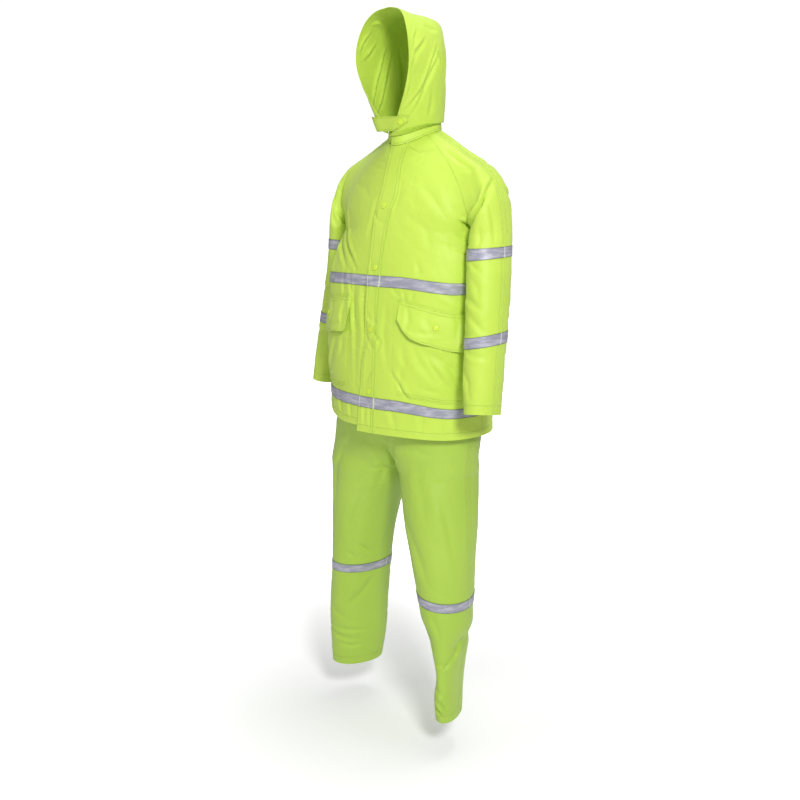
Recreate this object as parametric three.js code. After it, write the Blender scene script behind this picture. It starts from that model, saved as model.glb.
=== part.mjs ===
import * as THREE from "three";

// Rain suit: a hooded jacket and a pair of trousers, hollow, in the form that they have when worn.
// Millimetres. +Z is up, the suit faces -Y, and +X is the wearer's left.
// Heights in the tables count from the floor that the wearer stands on.

// The origin: the middle of the neck opening, where the wearer's neck and shoulders hold the suit up.
const NECK_HEIGHT = 1585;

const CLOTH = 1.5;
const FLAP = 1.6;
const TAPE = 1.0;
const POCKET = 1.0;
const GAP = 0.3;
const COLOURS = { jacket: 0xc8ee66, trousers: 0xb4db5c, tape: 0xa3a3b2, snap: 0xbfe35c };

// Jacket body below the armholes: half-widths to the wearer's right and left, half-depths before and
// behind, how square each quarter of the front is (2 is an ellipse).
const TORSO = [
  { z: 850, right: 234, left: 226, front: 188, back: 172, squareRight: 2.2, squareLeft: 2.1 },
  { z: 950, right: 236, left: 223, front: 183, back: 164, squareRight: 2.25, squareLeft: 2.1 },
  { z: 1050, right: 235, left: 219, front: 178, back: 156, squareRight: 2.45, squareLeft: 2.1 },
  { z: 1150, right: 232, left: 214, front: 170, back: 150, squareRight: 2.7, squareLeft: 2.1 },
  { z: 1250, right: 224, left: 208, front: 160, back: 146, squareRight: 2.9, squareLeft: 2.1 },
  { z: 1305, right: 211, left: 204, front: 153, back: 142, squareRight: 2.5, squareLeft: 2 },
  { z: 1360, right: 201, left: 201, front: 146, back: 138, squareRight: 2, squareLeft: 2 },
];

// Rows of cloth up to the armholes. A row hangs lower by the drop of that side of the body.
const BODY_ROWS = [
  { z: 858, left: 7, right: -34 },
  { z: 875, left: 9, right: -26 },
  { z: 898, left: 12, right: -13 },
  { z: 921, left: 16, right: -4 },
  { z: 949, left: 20, right: 0 },
  { z: 966, left: 22, right: 6 },
  { z: 1000, left: 24, right: 12 },
  { z: 1040, left: 28, right: 20 },
  { z: 1078, left: 31, right: 28 },
  { z: 1115, left: 34, right: 34 },
  { z: 1140, left: 35, right: 32 },
  { z: 1165, left: 36, right: 30 },
  { z: 1190, left: 36, right: 28 },
  { z: 1225, left: 15, right: 7 },
  { z: 1252, left: 14, right: 7 },
  { z: 1290, left: 9, right: 5 },
  { z: 1325, left: 4, right: 2 },
  { z: 1360, left: 0, right: 0 },
];
const HEM_TAPE_ROWS = [3, 4];
const POCKET_ROWS = [5, 12];
const POCKET_FLAP_ROWS = [9, 12];
const CHEST_TAPE_ROWS = [13, 14];
const DROP_ANGLES = { start: 18, full: 65, backFull: 115, backEnd: 165 };

// Columns of cloth as angles from the middle of the front or of the back. The front's first two columns are
// its middle and the edge of the storm flap.
const FRONT_ANGLES = {
  left: [14, 23, 31, 39.5, 48, 56.5, 65, 73, 81.5, 90],
  right: [14, 20, 27.5, 35.5, 43.5, 51.5, 60, 69, 79.5, 90],
};
const POCKET_COLUMNS = [3, 9];
const BACK_ANGLES = [90, 78, 66, 54, 42, 30, 18, 6, -6, -18, -30, -42, -54, -66, -78, -90];

// Storm flap: how far its free edge lies to the right of the middle of the front and its stitched edge to
// the left, and how far the drape of the chest shifts the middle to the left.
const STORM_FLAP = [
  { z: 850, free: 27, stitch: 24, shift: 0 },
  { z: 940, free: 22, stitch: 24, shift: 0 },
  { z: 1120, free: 12, stitch: 24, shift: 0 },
  { z: 1250, free: 12, stitch: 25, shift: 0 },
  { z: 1360, free: 11, stitch: 31, shift: 3 },
  { z: 1405, free: 11, stitch: 37, shift: 7 },
  { z: 1456, free: 9, stitch: 42, shift: 18 },
  { z: 1510, free: 9, stitch: 38, shift: 13 },
  { z: 1566, free: 10, stitch: 34, shift: 8 },
];

// Jacket body above the armholes, by v from the armhole (0) to the neck seam (1).
// bend is the angle in degrees that a row turns through from the middle to the raglan seam.
const UPPER_ROWS = [0.1, 0.22, 0.34, 0.46, 0.58, 0.7, 0.85, 1];
const CENTRE_FRONT = [
  { v: 0, y: -146, z: 1360, bend: 90 },
  { v: 0.25, y: -139, z: 1415, bend: 54 },
  { v: 0.5, y: -124, z: 1470, bend: 30 },
  { v: 0.75, y: -102, z: 1524, bend: 30 },
  { v: 1, y: -80, z: 1566, bend: 56 },
];
const CENTRE_BACK = [
  { v: 0, y: 138, z: 1360, bend: 90 },
  { v: 0.25, y: 137, z: 1425, bend: 56 },
  { v: 0.5, y: 128, z: 1490, bend: 36 },
  { v: 0.75, y: 103, z: 1556, bend: 34 },
  { v: 1, y: 68, z: 1608, bend: 52 },
];

// Raglan seams of the left side, from the armhole to the neck, as the control points of a cubic curve.
const RAGLAN_FRONT = [
  [201, 0, 1360],
  [234, -94, 1430],
  [154, -24, 1527],
  [58, -22, 1592],
];
const RAGLAN_BACK = [
  [201, 0, 1360],
  [230, 104, 1440],
  [146, 60, 1552],
  [54, 34, 1604],
];

// Top of a sleeve, by v from the armhole (0) to the neck (1): its outer ridge (x on each side, y, z), the
// reach of its curve there, and the step across, out and up that the cloth takes from each raglan seam
// towards the ridge.
const SHOULDER = [
  { v: 0, left: 285, right: 268, y: 0, z: 1360, reach: 88, across: 0, out: 88, up: 0 },
  { v: 0.25, left: 270, right: 245, y: 0, z: 1445, reach: 70, across: 30, out: 24, up: 14 },
  { v: 0.5, left: 230, right: 216, y: 0, z: 1506, reach: 50, across: 38, out: -4, up: 22 },
  { v: 0.75, left: 148, right: 144, y: 3, z: 1552, reach: 28, across: 22, out: -8, up: 15 },
  { v: 1, left: 64, right: 64, y: 6, z: 1600, reach: 12, across: 2, out: -8, up: 3 },
];

// Sleeves below the armhole: the middle of each section, its half-width sideways, its half-depth fore and
// aft, and how far it rises towards +X and towards +Y, per millimetre.
const SLEEVE = {
  left: [
    { z: 930, x: 290, y: -86, side: 38, depth: 53, riseX: 0.11, riseY: -0.16 },
    { z: 1040, x: 281, y: -70, side: 42, depth: 58, riseX: 0.15, riseY: 0 },
    { z: 1150, x: 271, y: -48, side: 44, depth: 63, riseX: 0.17, riseY: 0.06 },
    { z: 1260, x: 258, y: -26, side: 45, depth: 66, riseX: 0.14, riseY: 0.05 },
    { z: 1310, x: 249, y: -14, side: 44, depth: 66, riseX: 0.08, riseY: 0.03 },
    { z: 1360, x: 243, y: 0, side: 42, depth: 66, riseX: 0, riseY: 0 },
  ],
  right: [
    { z: 930, x: -318, y: -3, side: 36, depth: 51, riseX: -0.15, riseY: 0 },
    { z: 1040, x: -302, y: 9, side: 40, depth: 57, riseX: -0.15, riseY: 0 },
    { z: 1150, x: -285, y: 20, side: 41, depth: 61, riseX: -0.12, riseY: 0 },
    { z: 1250, x: -269, y: 24, side: 40, depth: 63, riseX: -0.08, riseY: 0 },
    { z: 1305, x: -252, y: 15, side: 38, depth: 65, riseX: -0.04, riseY: 0 },
    { z: 1360, x: -234.5, y: 0, side: 33.5, depth: 66, riseX: 0, riseY: 0 },
  ],
};
const SLEEVE_ROWS = [930, 950, 985, 1020, 1060, 1094, 1121, 1160, 1205, 1250, 1298, 1325, 1343, 1360];
const SLEEVE_TAPE_ROWS = { lower: [5, 6], upper: [10, 11] };
const SLEEVE_STEPS = 6;

// Collar: a band that stands on the neck seam. Its ends leave a slit in front.
const COLLAR_ROWS = [0, 16, 30, 44];
const COLLAR_LEAN = 0.07;
const COLLAR_SLIT = 3;

// Left half of the hood, from its lower edge (h 0) to its centre seam along the top (h 1): the rim of the
// face opening, the half-width at the ears, and the centre seam down the back.
const HOOD = [
  { h: 0, rimX: 5, rimY: -88, rimZ: 1586, width: 74, backY: 78, backZ: 1624 },
  { h: 0.08, rimX: 13, rimY: -96, rimZ: 1600, width: 76, backY: 79, backZ: 1636 },
  { h: 0.2, rimX: 30, rimY: -102, rimZ: 1634, width: 80, backY: 78, backZ: 1662 },
  { h: 0.34, rimX: 57, rimY: -111, rimZ: 1680, width: 84, backY: 76, backZ: 1700 },
  { h: 0.48, rimX: 77, rimY: -119, rimZ: 1722, width: 87, backY: 74, backZ: 1742 },
  { h: 0.6, rimX: 86, rimY: -123, rimZ: 1760, width: 88, backY: 72, backZ: 1778 },
  { h: 0.7, rimX: 84, rimY: -123, rimZ: 1798, width: 84, backY: 71, backZ: 1808 },
  { h: 0.79, rimX: 74, rimY: -119, rimZ: 1833, width: 75, backY: 72, backZ: 1833 },
  { h: 0.87, rimX: 58, rimY: -112, rimZ: 1862, width: 61, backY: 75, backZ: 1851 },
  { h: 0.94, rimX: 35, rimY: -104, rimZ: 1880, width: 37, backY: 78, backZ: 1862 },
  { h: 1, rimX: 0, rimY: -98, rimZ: 1887, width: 0, backY: 80, backZ: 1867 },
];
const HOOD_STEPS = 14;
// How far the lower edge of the hood stands off the collar, from the front (share 0) to the back (1).
const HOOD_STAND = [
  { share: 0, off: 5 },
  { share: 0.2, off: 0.45 },
  { share: 0.45, off: 0.45 },
  { share: 0.7, off: 5 },
  { share: 1, off: 7 },
];
const STRAP_ROWS = [1, 2];
const STRAP_REACH = { left: 2, right: 2 };

// Trouser legs below the fork: the middle of each section, its half-width, its half-depth and its turn in
// degrees.
const LEG = {
  left: [
    { z: 102, x: 184, y: -70, side: 30, depth: 64, turn: 21 },
    { z: 140, x: 182, y: -68, side: 30, depth: 75, turn: 21 },
    { z: 200, x: 175, y: -62, side: 33, depth: 85, turn: 20 },
    { z: 300, x: 165, y: -55, side: 51, depth: 90, turn: 18 },
    { z: 420, x: 155, y: -50, side: 67, depth: 93, turn: 14 },
    { z: 520, x: 141, y: -45, side: 78, depth: 98, turn: 9 },
    { z: 620, x: 122, y: -32, side: 89, depth: 106, turn: 4 },
    { z: 735, x: 94, y: -8, side: 94, depth: 116, turn: 0 },
  ],
  right: [
    { z: 120, x: -205, y: -13, side: 52, depth: 76, turn: -19 },
    { z: 200, x: -199, y: -13, side: 57, depth: 84, turn: -19 },
    { z: 300, x: -195, y: -13, side: 62, depth: 88, turn: -17 },
    { z: 420, x: -182, y: -15, side: 67, depth: 89, turn: -13 },
    { z: 520, x: -171, y: -17, side: 74, depth: 94, turn: -9 },
    { z: 620, x: -155, y: -16, side: 88, depth: 104, turn: -4 },
    { z: 735, x: -124, y: -8, side: 124, depth: 118, turn: 0 },
  ],
};
const LEG_ROWS = [0, 0.03, 0.08, 0.15, 0.22, 0.3, 0.38, 0.479, 0.518, 0.58, 0.67, 0.76, 0.85, 0.93, 1];
const LEG_TAPE_ROWS = [7, 8];
const LEG_TAPE = { low: 407, high: 431 };
const LEG_STEPS = 8;

// Trousers above the fork, by v from the fork (0) to the waist (1): the middle seam in front and behind,
// the height of the side seam, the same reach, across, out and up as on the top of a sleeve, and the slack
// between each side seam and the jacket.
const RISE_ROWS = [0.15, 0.3, 0.45, 0.6, 0.8, 1];
const RISE = {
  front: [
    { v: 0, y: -8, z: 735, sideZ: 735, reach: 155, across: 0, out: 155, up: 0, left: 0, right: 0 },
    { v: 0.15, y: -52, z: 750, sideZ: 770, reach: 138, across: 10, out: 104, up: 0, left: 26, right: 0 },
    { v: 0.3, y: -96, z: 790, sideZ: 806, reach: 122, across: 44, out: 66, up: 0, left: 26, right: 0 },
    { v: 0.5, y: -138, z: 850, sideZ: 862, reach: 106, across: 118, out: 18, up: 0, left: 28, right: 2 },
    { v: 0.75, y: -158, z: 935, sideZ: 940, reach: 96, across: 130, out: 0, up: 0, left: 20, right: 0.8 },
    { v: 1, y: -156, z: 1010, sideZ: 1012, reach: 88, across: 122, out: 0, up: 0, left: 16, right: 16 },
  ],
  back: [
    { v: 0, y: -8, z: 735, sideZ: 735, reach: 155, across: 0, out: 155, up: 0, left: 0, right: 0 },
    { v: 0.15, y: 52, z: 748, sideZ: 770, reach: 134, across: 14, out: 86, up: 0, left: 26, right: 0 },
    { v: 0.3, y: 102, z: 786, sideZ: 806, reach: 114, across: 56, out: 42, up: 0, left: 26, right: 0 },
    { v: 0.5, y: 134, z: 850, sideZ: 862, reach: 90, across: 122, out: 0, up: 0, left: 28, right: 2 },
    { v: 0.75, y: 143, z: 940, sideZ: 940, reach: 84, across: 124, out: 0, up: 0, left: 20, right: 0.8 },
    { v: 1, y: 140, z: 1016, sideZ: 1012, reach: 80, across: 122, out: 0, up: 0, left: 16, right: 16 },
  ],
};
const WAISTBAND_HEIGHT = 36;

// Largest folds: each runs between two points of a panel, given by the share of the way across it and the
// height there. A ridge has a height over 0 and a trough one under 0.
const FOLDS = {
  front_right: [
    { fromAcross: 0.36, fromZ: 1430, toAcross: 0.24, toZ: 890, width: 20, height: -6 },
    { fromAcross: 0.58, fromZ: 1420, toAcross: 0.5, toZ: 940, width: 24, height: 5 },
    { fromAcross: 0.8, fromZ: 1330, toAcross: 0.72, toZ: 1000, width: 20, height: -5 },
  ],
  front_left: [
    { fromAcross: 0.95, fromZ: 1345, toAcross: 0.55, toZ: 1285, width: 18, height: -5 },
    { fromAcross: 0.3, fromZ: 1090, toAcross: 0.42, toZ: 880, width: 24, height: -4 },
    { fromAcross: 0.75, fromZ: 1060, toAcross: 0.62, toZ: 890, width: 24, height: 4 },
  ],
  back: [
    { fromAcross: 0.22, fromZ: 1420, toAcross: 0.3, toZ: 900, width: 26, height: 6 },
    { fromAcross: 0.4, fromZ: 1300, toAcross: 0.44, toZ: 880, width: 24, height: -6 },
    { fromAcross: 0.62, fromZ: 1280, toAcross: 0.58, toZ: 900, width: 24, height: -5 },
    { fromAcross: 0.8, fromZ: 1430, toAcross: 0.74, toZ: 890, width: 26, height: 6 },
    { fromAcross: 0.25, fromZ: 1500, toAcross: 0.75, toZ: 1490, width: 24, height: -4 },
  ],
  sleeve_front_left: [
    { fromAcross: 0.1, fromZ: 1385, toAcross: 0.75, toZ: 1470, width: 16, height: -6 },
    { fromAcross: 0.3, fromZ: 1190, toAcross: 0.8, toZ: 1145, width: 18, height: -4 },
  ],
  sleeve_front_right: [
    { fromAcross: 0.1, fromZ: 1385, toAcross: 0.75, toZ: 1460, width: 16, height: -5 },
    { fromAcross: 0.25, fromZ: 1175, toAcross: 0.75, toZ: 1150, width: 18, height: -4 },
  ],
  sleeve_back_left: [
    { fromAcross: 0.2, fromZ: 1390, toAcross: 0.75, toZ: 1450, width: 18, height: -5 },
    { fromAcross: 0.25, fromZ: 1215, toAcross: 0.75, toZ: 1180, width: 18, height: -4 },
  ],
  sleeve_back_right: [
    { fromAcross: 0.2, fromZ: 1390, toAcross: 0.75, toZ: 1450, width: 18, height: -5 },
    { fromAcross: 0.25, fromZ: 1210, toAcross: 0.75, toZ: 1185, width: 18, height: -4 },
  ],
  trouser_front_left: [
    { fromAcross: 0.3, fromZ: 640, toAcross: 0.55, toZ: 480, width: 24, height: -4 },
  ],
  trouser_front_right: [
    { fromAcross: 0.35, fromZ: 660, toAcross: 0.5, toZ: 480, width: 26, height: -4 },
    { fromAcross: 0.3, fromZ: 250, toAcross: 0.8, toZ: 215, width: 20, height: -4 },
  ],
  trouser_back_left: [
    { fromAcross: 0.25, fromZ: 380, toAcross: 0.75, toZ: 350, width: 22, height: -5 },
    { fromAcross: 0.4, fromZ: 700, toAcross: 0.55, toZ: 520, width: 26, height: -5 },
  ],
  trouser_back_right: [
    { fromAcross: 0.25, fromZ: 390, toAcross: 0.75, toZ: 360, width: 22, height: -5 },
    { fromAcross: 0.4, fromZ: 700, toAcross: 0.55, toZ: 520, width: 26, height: -5 },
  ],
  hood_left: [
    { fromAcross: 0.8, fromZ: 1800, toAcross: 0.3, toZ: 1655, width: 30, height: -4 },
  ],
  hood_right: [
    { fromAcross: 0.75, fromZ: 1790, toAcross: 0.35, toZ: 1650, width: 30, height: -4 },
  ],
};

const SNAP = { radius: 7.5, height: 2.4, sides: 16 };
const STORM_SNAP_HEIGHTS = [963, 1118, 1272, 1423];
const POCKET_SNAP_HEIGHT = 1136;
const STRAP_SNAP_HEIGHT = 1616;

const DEGREE = Math.PI / 180;
const SIDES = { left: 1, right: -1 };

// The row of a table at a value of its key, by a smooth curve through the rows of every other named column.
function lookup(table, key, at) {
  let i = 1;
  while (i < table.length - 1 && table[i][key] < at) i++;
  const [a, b] = [table[i - 1], table[i]];
  const before = table[i - 2] ?? a;
  const after = table[i + 1] ?? b;
  const span = b[key] - a[key];
  const t = THREE.MathUtils.clamp((at - a[key]) / span, 0, 1);
  const row = {};
  for (const name of Object.keys(a)) {
    const slopeA = ((b[name] - before[name]) / (b[key] - before[key])) * span;
    const slopeB = ((after[name] - a[name]) / (after[key] - a[key])) * span;
    const [t2, t3] = [t * t, t * t * t];
    row[name] =
      (2 * t3 - 3 * t2 + 1) * a[name] +
      (t3 - 2 * t2 + t) * slopeA +
      (3 * t2 - 2 * t3) * b[name] +
      (t3 - t2) * slopeB;
  }
  return row;
}

const vector = (x, y, z) => new THREE.Vector3(x, y, z);

// A cubic curve from start to end, with one control point stepped off each.
function arc(start, startStep, end, endStep) {
  return new THREE.CubicBezierCurve3(
    start,
    start.clone().add(startStep),
    end.clone().add(endStep),
    end,
  );
}

// Jacket body

// A point below the armholes: angle 0 is the middle of the front, 90 the left side seam, 180 the middle of
// the back.
function torsoPoint(angle, row) {
  const { start, full, backFull, backEnd } = DROP_ANGLES;
  const turn = Math.abs(angle);
  const side = angle > 0 ? "left" : "right";
  const fall =
    THREE.MathUtils.smoothstep(turn, start, full) * (1 - THREE.MathUtils.smoothstep(turn, backFull, backEnd));
  const z = row.z - row[side] * fall;
  const size = lookup(TORSO, "z", z);
  const square = turn > 90 ? 2 : size[side === "left" ? "squareLeft" : "squareRight"];
  const across = Math.abs(Math.sin(angle * DEGREE));
  const along = Math.abs(Math.cos(angle * DEGREE));
  const reach = (across ** square + along ** square) ** (-1 / square);
  const depth = turn < 90 ? -size.front : size.back;
  return vector(Math.sign(angle) * size[side] * reach * across, depth * reach * along, z);
}

// The point of a raglan seam at v.
function seamPoint(seam, v) {
  return new THREE.CubicBezierCurve3(...seam.map((p) => vector(...p))).getPoint(v);
}

// A point above the armholes: share runs from the middle (0) to the raglan seam (1).
function upperPoint(side, share, v, centreTable, seam) {
  const centre = lookup(centreTable, "v", v);
  const end = seamPoint(seam, v);
  const bend = centre.bend * DEGREE;
  const turn = share * bend;
  const across = Math.sin(turn) / Math.sin(bend);
  const along = (1 - Math.cos(turn)) / (1 - Math.cos(bend));
  return vector(
    side * end.x * across,
    centre.y + (end.y - centre.y) * along,
    centre.z + (end.z - centre.z) * along,
  );
}

// The share of a row at which it reaches the flap's edge on this side.
function flapShare(sideName, z, width, bend) {
  const edge = lookup(STORM_FLAP, "z", z);
  const reach = sideName === "left" ? edge.stitch : edge.free;
  return Math.asin((reach * Math.sin(bend * DEGREE)) / width) / DEGREE / bend;
}

function frontPoints(sideName) {
  const side = SIDES[sideName];
  const drape = (p, share, z) => {
    p.x += lookup(STORM_FLAP, "z", z).shift * (1 - share) ** 2;
    return p;
  };
  const angles = FRONT_ANGLES[sideName];
  const shares = (first) => {
    const base = angles[0] / 90;
    const start = Math.max(base, first + 0.07);
    return [0, first, ...angles.map((a) => start + ((a / 90 - base) * (1 - start)) / (1 - base))];
  };
  const lower = BODY_ROWS.map((row) => {
    const width = lookup(TORSO, "z", row.z)[sideName];
    return shares(flapShare(sideName, row.z, width, 90)).map((s) =>
      drape(torsoPoint(side * s * 90, row), s, row.z),
    );
  });
  const upper = UPPER_ROWS.map((v) => {
    const centre = lookup(CENTRE_FRONT, "v", v);
    const width = seamPoint(RAGLAN_FRONT, v).x;
    return shares(flapShare(sideName, centre.z, width, centre.bend)).map((s) =>
      drape(upperPoint(side, s, v, CENTRE_FRONT, RAGLAN_FRONT), s, centre.z),
    );
  });
  return [...lower, ...upper];
}

function backPoints() {
  const lower = BODY_ROWS.map((row) =>
    BACK_ANGLES.map((a) => torsoPoint(Math.sign(a) * (180 - Math.abs(a)), row)),
  );
  const upper = UPPER_ROWS.map((v) =>
    BACK_ANGLES.map((a) => upperPoint(Math.sign(a), Math.abs(a) / 90, v, CENTRE_BACK, RAGLAN_BACK)),
  );
  return [...lower, ...upper];
}

// Sleeves

// One row of half a sleeve, from the underarm or raglan seam round the front or back to the overarm seam.
function sleevePoints(sideName, half) {
  const side = SIDES[sideName];
  const facing = half === "front" ? -1 : 1;
  const table = SLEEVE[sideName];
  const seam = half === "front" ? RAGLAN_FRONT : RAGLAN_BACK;
  const lower = SLEEVE_ROWS.map((z) => {
    const s = lookup(table, "z", z);
    const full = (4 / 3) * s.depth * facing;
    const curve = arc(
      vector(s.x - side * s.side, s.y, z),
      vector(0, full, 0),
      vector(s.x + side * s.side, s.y, z),
      vector(0, full, 0),
    );
    return curve.getPoints(SLEEVE_STEPS).map((p) => {
      p.z += (p.x - s.x) * s.riseX + (p.y - s.y) * s.riseY;
      return p;
    });
  });
  const upper = UPPER_ROWS.map((v) => {
    const s = lookup(SHOULDER, "v", v);
    const start = seamPoint(seam, v);
    start.x *= side;
    return arc(
      start,
      vector(side * s.across, facing * s.out, s.up),
      vector(side * s[sideName], s.y, s.z),
      vector(0, facing * s.reach, 0),
    ).getPoints(SLEEVE_STEPS);
  });
  return [...lower, ...upper];
}

// Collar and hood

// The neck seam from the middle of the front round the left side, the back and the right side.
function neckline(grids) {
  const top = (name) => grids[name][grids[name].length - 1];
  return [
    ...top("front_left"),
    ...top("sleeve_front_left").slice(1),
    ...top("sleeve_back_left").slice(0, -1).reverse(),
    ...top("back").slice(1),
    ...top("sleeve_back_right").slice(1),
    ...top("sleeve_front_right").slice(0, -1).reverse(),
    ...top("front_right").slice(0, -1).reverse(),
  ];
}

function collarPoints(neck) {
  const ends = [
    [0, 1],
    [neck.length - 1, neck.length - 2],
  ];
  const line = neck.map((p) => p.clone());
  for (const [end, next] of ends) line[end].lerp(neck[next], COLLAR_SLIT / Math.abs(neck[next].x));
  return COLLAR_ROWS.map((height) =>
    line.map((p) => {
      const shrink = 1 - (COLLAR_LEAN * height) / COLLAR_ROWS[COLLAR_ROWS.length - 1];
      return vector(p.x * shrink, p.y * shrink, p.z + height);
    }),
  );
}

// A row of half of the hood, from the rim of the face opening past the ear to the seam at the back.
function hoodRow(side, row) {
  const earY = -25;
  const rim = vector(side * row.rimX, row.rimY, row.rimZ);
  const ear = vector(side * row.width, earY, (row.rimZ + row.backZ) / 2);
  const back = vector(0, row.backY, row.backZ);
  const front = earY - row.rimY;
  const rear = row.backY - earY;
  const path = new THREE.CurvePath();
  path.add(
    arc(rim, vector(side * 0.55 * (row.width - row.rimX), -0.02 * front, 0), ear, vector(0, -0.5 * front, 0)),
  );
  path.add(arc(ear, vector(0, 0.55 * rear, 0), back, vector(side * 0.55 * row.width, 0, 0)));
  return Array.from({ length: HOOD_STEPS + 1 }, (_, i) => path.getPoint(i / HOOD_STEPS));
}

// The lower edge of the hood hangs just outside the collar.
function hoodPoints(side, collar) {
  const half = collar.map((row) => (side > 0 ? row : [...row].reverse()).slice(0, Math.ceil(row.length / 2)));
  const height = (share) => THREE.MathUtils.lerp(23, 16, share);
  const lengths = [0];
  for (let i = 1; i < half[1].length; i++) {
    lengths.push(lengths[i - 1] + half[1][i].distanceTo(half[1][i - 1]));
  }
  const edge = Array.from({ length: HOOD_STEPS + 1 }, (_, step) => {
    const share = step / HOOD_STEPS;
    const at = share * lengths[lengths.length - 1];
    const i = Math.min(Math.max(lengths.findIndex((l) => l >= at), 1), lengths.length - 1);
    const t = (at - lengths[i - 1]) / (lengths[i] - lengths[i - 1]);
    const rise = (height(share) - COLLAR_ROWS[1]) / (COLLAR_ROWS[2] - COLLAR_ROWS[1]);
    const low = half[1][i - 1].clone().lerp(half[1][i], t);
    const high = half[2][i - 1].clone().lerp(half[2][i], t);
    const along = half[1][i].clone().sub(half[1][i - 1]).normalize();
    const outward = vector(along.y, -along.x, 0).multiplyScalar(side);
    const stand = CLOTH + lookup(HOOD_STAND, "share", share).off;
    const p = low.lerp(high, rise).addScaledVector(outward, stand);
    if (step === HOOD_STEPS) p.x = 0;
    return p;
  });
  return [edge, ...HOOD.slice(1).map((row) => hoodRow(side, row))];
}

// Trousers

function trouserPoints(sideName, half) {
  const side = SIDES[sideName];
  const facing = half === "front" ? -1 : 1;
  const table = LEG[sideName];
  const [hem, fork] = [table[0], table[table.length - 1]];
  const lower = LEG_ROWS.map((share, r) => {
    let z = THREE.MathUtils.lerp(hem.z, fork.z, share);
    if (r === LEG_TAPE_ROWS[0]) z = LEG_TAPE.low;
    if (r === LEG_TAPE_ROWS[1]) z = LEG_TAPE.high;
    const s = lookup(table, "z", z);
    const turn = s.turn * DEGREE;
    const outward = vector(side * Math.cos(turn), side * Math.sin(turn), 0);
    const forward = vector(-Math.sin(turn), Math.cos(turn), 0).multiplyScalar(facing);
    const centre = vector(s.x, s.y, z);
    const step = forward.multiplyScalar((4 / 3) * s.depth);
    return arc(
      centre.clone().addScaledVector(outward, -s.side),
      step,
      centre.clone().addScaledVector(outward, s.side),
      step,
    ).getPoints(LEG_STEPS);
  });
  const upper = RISE_ROWS.map((v) => {
    const s = lookup(RISE[half], "v", v);
    const width = lookup(TORSO, "z", Math.max(s.sideZ, 850))[sideName] - CLOTH - s[sideName];
    const x = THREE.MathUtils.mapLinear(Math.min(s.sideZ, 850), fork.z, 850, fork.side * 2, width);
    return arc(
      vector(0, s.y, s.z),
      vector(side * s.across, facing * s.out, s.up),
      vector(side * x, fork.y * (1 - v), s.sideZ),
      vector(0, facing * s.reach, 0),
    ).getPoints(LEG_STEPS);
  });
  return [...lower, ...upper];
}

// Walls

// A grid of points with its outward normals. facing is 1 where the columns run to the right seen from
// outside.
function panel(points, facing, wrap = false) {
  const last = points.length - 1;
  const end = points[0].length - 1;
  const step = (row, c) =>
    wrap ? row[(c + row.length) % row.length] : row[THREE.MathUtils.clamp(c, 0, end)];
  const normals = points.map((row, r) =>
    row.map((_, c) => {
      const across = step(row, c + 1).clone().sub(step(row, c - 1));
      const up = points[Math.min(r + 1, last)][c].clone().sub(points[Math.max(r - 1, 0)][c]);
      return across.cross(up).multiplyScalar(facing).normalize();
    }),
  );
  return { points, normals, facing, wrap };
}

// The point of a grid at a share of the way across and a height.
function pointAt(points, across, height) {
  const column = across * (points[0].length - 1);
  const c = Math.min(Math.floor(column), points[0].length - 2);
  const line = points.map((row) => row[c].clone().lerp(row[c + 1], column - c));
  let r = 1;
  while (r < line.length - 1 && line[r].z < height) r++;
  return line[r - 1].clone().lerp(line[r], (height - line[r - 1].z) / (line[r].z - line[r - 1].z));
}

// The points of a panel moved along their normals by its folds, which die out at its edges.
function folded(name, points, facing) {
  const { normals } = panel(points, facing);
  const lines = (FOLDS[name] ?? []).map((fold) => ({
    line: new THREE.Line3(
      pointAt(points, fold.fromAcross, fold.fromZ),
      pointAt(points, fold.toAcross, fold.toZ),
    ),
    ...fold,
  }));
  const last = points.length - 1;
  const end = points[0].length - 1;
  return points.map((row, r) =>
    row.map((p, c) => {
      const fade = Math.min(1, Math.min(r, last - r, c, end - c) / 2);
      const rise = lines.reduce((sum, { line, width, height }) => {
        const t = THREE.MathUtils.clamp(line.closestPointToPointParameter(p, false), 0.04, 0.96);
        const away = line.at(t, vector(0, 0, 0)).distanceTo(p) / width;
        return sum + height * Math.exp(-away * away) * Math.sqrt(Math.sin(Math.PI * t));
      }, 0);
      return p.clone().addScaledVector(normals[r][c], rise * fade);
    }),
  );
}

// Where panels share a seam they share one normal there, so their walls meet in a mitre.
function mitre(panels) {
  const shared = new Map();
  for (const { points, normals } of panels)
    points.forEach((row, r) =>
      row.forEach((p, c) => {
        const key = [p.x, p.y, p.z].map((n) => Math.round(n * 100)).join();
        if (!shared.has(key)) shared.set(key, []);
        shared.get(key).push(normals[r][c]);
      }),
    );
  for (const meeting of shared.values()) {
    while (meeting.length) {
      const first = meeting[0].clone();
      const alike = meeting.filter((n) => n.dot(first) > 0.2);
      meeting.splice(0, meeting.length, ...meeting.filter((n) => n.dot(first) <= 0.2));
      const sum = alike.reduce((total, n) => total.add(n), vector(0, 0, 0)).normalize();
      const stretch = 1 / Math.min(...alike.map((n) => n.dot(sum)));
      for (const n of alike) n.copy(sum).multiplyScalar(Math.min(stretch, 1.4));
    }
  }
}

// The edges of a panel drawn in by half the gap of a seam.
function trimmed({ points, wrap }) {
  const last = points.length - 1;
  const end = points[0].length - 1;
  return points.map((row, r) =>
    row.map((p, c) => {
      const q = p.clone();
      const inRow = THREE.MathUtils.clamp(r, 1, last - 1);
      const inColumn = wrap ? c : THREE.MathUtils.clamp(c, 1, end - 1);
      const corner = inRow !== r && inColumn !== c;
      const inward = last > 1 || inRow === r ? points[inRow][inColumn] : points[last - r][inColumn];
      if (inRow !== r || inColumn !== c)
        q.addScaledVector(inward.clone().sub(p).normalize(), (GAP / 2) * (corner ? 1.5 : 1));
      return q;
    }),
  );
}

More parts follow.
